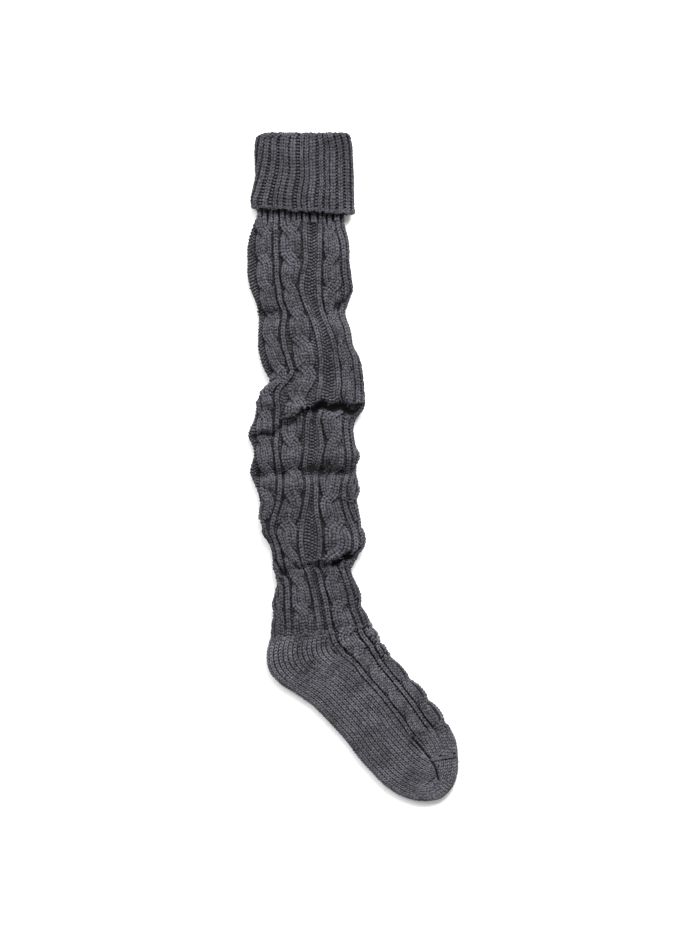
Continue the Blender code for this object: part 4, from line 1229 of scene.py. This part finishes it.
def cuff_side(section, out, distance, side):
    """One side of rings of the cuff, at the same height off the surface or at one for each point."""
    return cuff_surface(tall(section), distance, np.broadcast_to(out, distance.shape), side)


def rib_wave(shares):
    """From -1 in the gutters to 1 along the ribs."""
    return 1 - 2 * np.abs(np.cos(math.pi * CUFF_RIBS * shares)) ** 3


cuff_over = over_top(CUFF_SECTION)
cuff_quarter = math.pi * cuff_half[:, None] / 2
shares = np.linspace(0.0, 1.0, CUFF_COLUMNS + 1)[None, :]
distance = cuff_distance(shares, cuff_over[:, None], cuff_quarter, cuff_fade[:, None])
rib_shape = CUFF_RIB_RISE * rib_wave(shares)
top = cuff_side(CUFF_SECTION, rib_shape * smooth(1 + distance / cuff_quarter) - CUFF_DEPTH, distance, 1)
top[..., 1] += HEAD_STAND * turning(cuff_count)[:, None] * rib_shape / CUFF_RIB_RISE
under_shares = shares[:, ::-1][:, 1:-1]
under_distance = under_shares * cuff_over[:, None] * UNDER_SPREAD
bottom = cuff_side(CUFF_SECTION, 0.5 * rib_wave(under_shares) - 0.5 - CUFF_DEPTH, under_distance, -1)

# Inside the flap the cloth runs from the leg's top down to the hem.
(back, _, front, _), (hem_back, _, hem_front, _) = CUFF[1], CUFF[0]
FLAP_INSIDE = Section(*np.transpose([
    (back, LEG_TOP + 2.0, front, LEG_TOP + 2.0, 1, 1, 1, 1, CUFF_HALF, 0, 0),
    (hem_back, 593.4, hem_front, 587.0, 1, 1, 1, 1, CUFF_HALF, 0, 0),
]))
inside_top = cuff_side(FLAP_INSIDE, -FLAP_WALL, distance[:2], 1)
inside_bottom = cuff_side(FLAP_INSIDE, -FLAP_WALL, under_distance[:2], -1)
rings = [np.concatenate(both, 1) for both in ((top, bottom), (inside_top, inside_bottom))]
# The cuff's cloth behind the stitches is painted near-black, as painted shade between them.
cuff_knit = knit_shell("cuff_knit", np.concatenate(rings), False, painted_shade_backing)

cuff_fine = np.linspace(0.0, 40.0, 400)
FINE_CUFF = Section(*(np.interp(cuff_fine, cuff_count, field) for field in CUFF_SECTION))
fine_over = over_top(FINE_CUFF)
fine_quarter = math.pi * FINE_CUFF.half / 2
fine_fade = np.interp(cuff_fine, cuff_count, cuff_fade)
turned = smooth((cuff_fine - 26.0) / 4.0)  # towards the turn the ribs stand out and the gutters sink


def cuff_stitches(side):
    loops = []
    for number in range(CUFF_RIBS):
        for share, purl in (((number + 0.5) / CUFF_RIBS, False), (number / CUFF_RIBS, True)):
            if side > 0:
                distance = cuff_distance(share, fine_over, fine_quarter, fine_fade)
                # No rib runs quite straight.
                distance = distance + 0.4 * np.sin(FINE_CUFF.back_y / 6.0 + 9.0 * share) * (0.05 < share < 0.95)
                out = -0.95 - 0.4 * turned if purl else 0.7 + 0.7 * turned
            else:
                distance = share * fine_over * UNDER_SPREAD
                out = (-1.4 if purl else -0.95) * np.ones_like(distance)
            path, before, after = (cuff_surface(FINE_CUFF, distance + step, out, side) for step in (0.0, -0.4, 0.4))
            path[:, 1] += HEAD_STAND * turning(cuff_fine) * (-1.0 if purl else 1.0)
            shown = np.full_like(distance, share > 0.01)  # the first gutter is round the back edge
            spread_here = (uneven(share + 0.5 / CUFF_RIBS) - uneven(share - 0.5 / CUFF_RIBS)) * CUFF_RIBS
            wide = (2.5 if purl else 5.0) * spread_here
            height = CUFF_PURL_HEIGHT if purl else CUFF_KNIT_HEIGHT
            knit_column(loops, path, before - after, wide, shown, purl=purl, side=side, height=height, loose=0.6)
    # The cast-off chain along the hem.
    share = np.linspace(0.02, 0.98, 160)
    hem = Section(*(np.full_like(share, field[0]) for field in FINE_CUFF))
    if side > 0:
        run = cuff_distance(share, fine_over[0], fine_quarter[0], fine_fade[0])
    else:
        run = share * fine_over[0] * UNDER_SPREAD
    chain = cuff_surface(hem, run, (0.2 if side > 0 else -1.1) * np.ones_like(run), side) - (0.0, 0.4, 0.0)
    chain[:, 1] += 0.9 * np.sin(58 * share + 2 * np.sin(9 * share)) + 0.5 * np.sin(23 * share)
    above = np.broadcast_to(np.array([0.0, -1.0 * side, 0.0]), chain.shape)
    knit_column(loops, chain, above, 3.2, np.ones_like(share), side=side, pitch=CHAIN_LOOP)
    return loops


# The cuff's stitches take the yarn painted darker, as painted shade.
cuff_pieces = [
    make_loops("cuff_stitches_top", cuff_stitches(1), cuff_yarn_painted_darker, 51),
    make_loops("cuff_stitches_under", cuff_stitches(-1), cuff_yarn_painted_darker, 52),
]
cuff_pieces += make_fibres(cuff_pieces[:1])
for piece in [cuff_knit] + cuff_pieces:
    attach(piece, "root")
    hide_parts("ribbed_cuff")

# ------------------------------
# The stage: a plain pale floor, soft light from above and from the right, and the camera straight above.
# ------------------------------
scene = bpy.context.scene
floor_mesh = bpy.data.meshes.new("floor")
corners = [(x * 4, y * 4, -0.0002) for x, y in ((-1, -1), (1, -1), (1, 1), (-1, 1))]
floor_mesh.from_pydata(corners, [], [(0, 1, 2, 3)])
floor = placed("floor", floor_mesh)
# White card without shine, so that the picture's ground stays even and soft shadows show on it.
paper = bpy.data.materials.new("matt_white_paper")
paper.use_nodes = True
card = paper.node_tree.nodes["Principled BSDF"].inputs
card["Base Color"].default_value = linear("#f6f6f6")
card["Roughness"].default_value = 0.9
floor_mesh.materials.append(paper)

world = bpy.data.worlds.new("studio")
scene.world = world
world.use_nodes = True
glow = world.node_tree.nodes["Background"].inputs
glow["Color"].default_value = (1.0, 1.0, 1.0, 1.0)
glow["Strength"].default_value = 0.6

for name, place, size, power in (
    ("soft_key", (0.6, 1.8, 1.6), 1.3, 128.0),
    ("soft_fill", (-1.1, 1.3, 1.8), 1.6, 48.0),
):
    light = bpy.data.lights.new(name, "AREA")
    light.size = size
    light.energy = power
    lamp = placed(name, light)
    lamp.location = place
    lamp.rotation_euler = (-Vector(place)).to_track_quat("-Z", "Y").to_euler()

FRAME_MM = (700.0, 933.0)  # what the picture takes in at the floor
LENS = 135.0
camera = bpy.data.cameras.new("camera")
camera.lens = LENS
eye = placed("camera", camera)
eye.location = (-0.00225, 0.0004, FRAME_MM[1] / 1000 * LENS / camera.sensor_width)
scene.camera = eye
scene.view_settings.view_transform = "Standard"
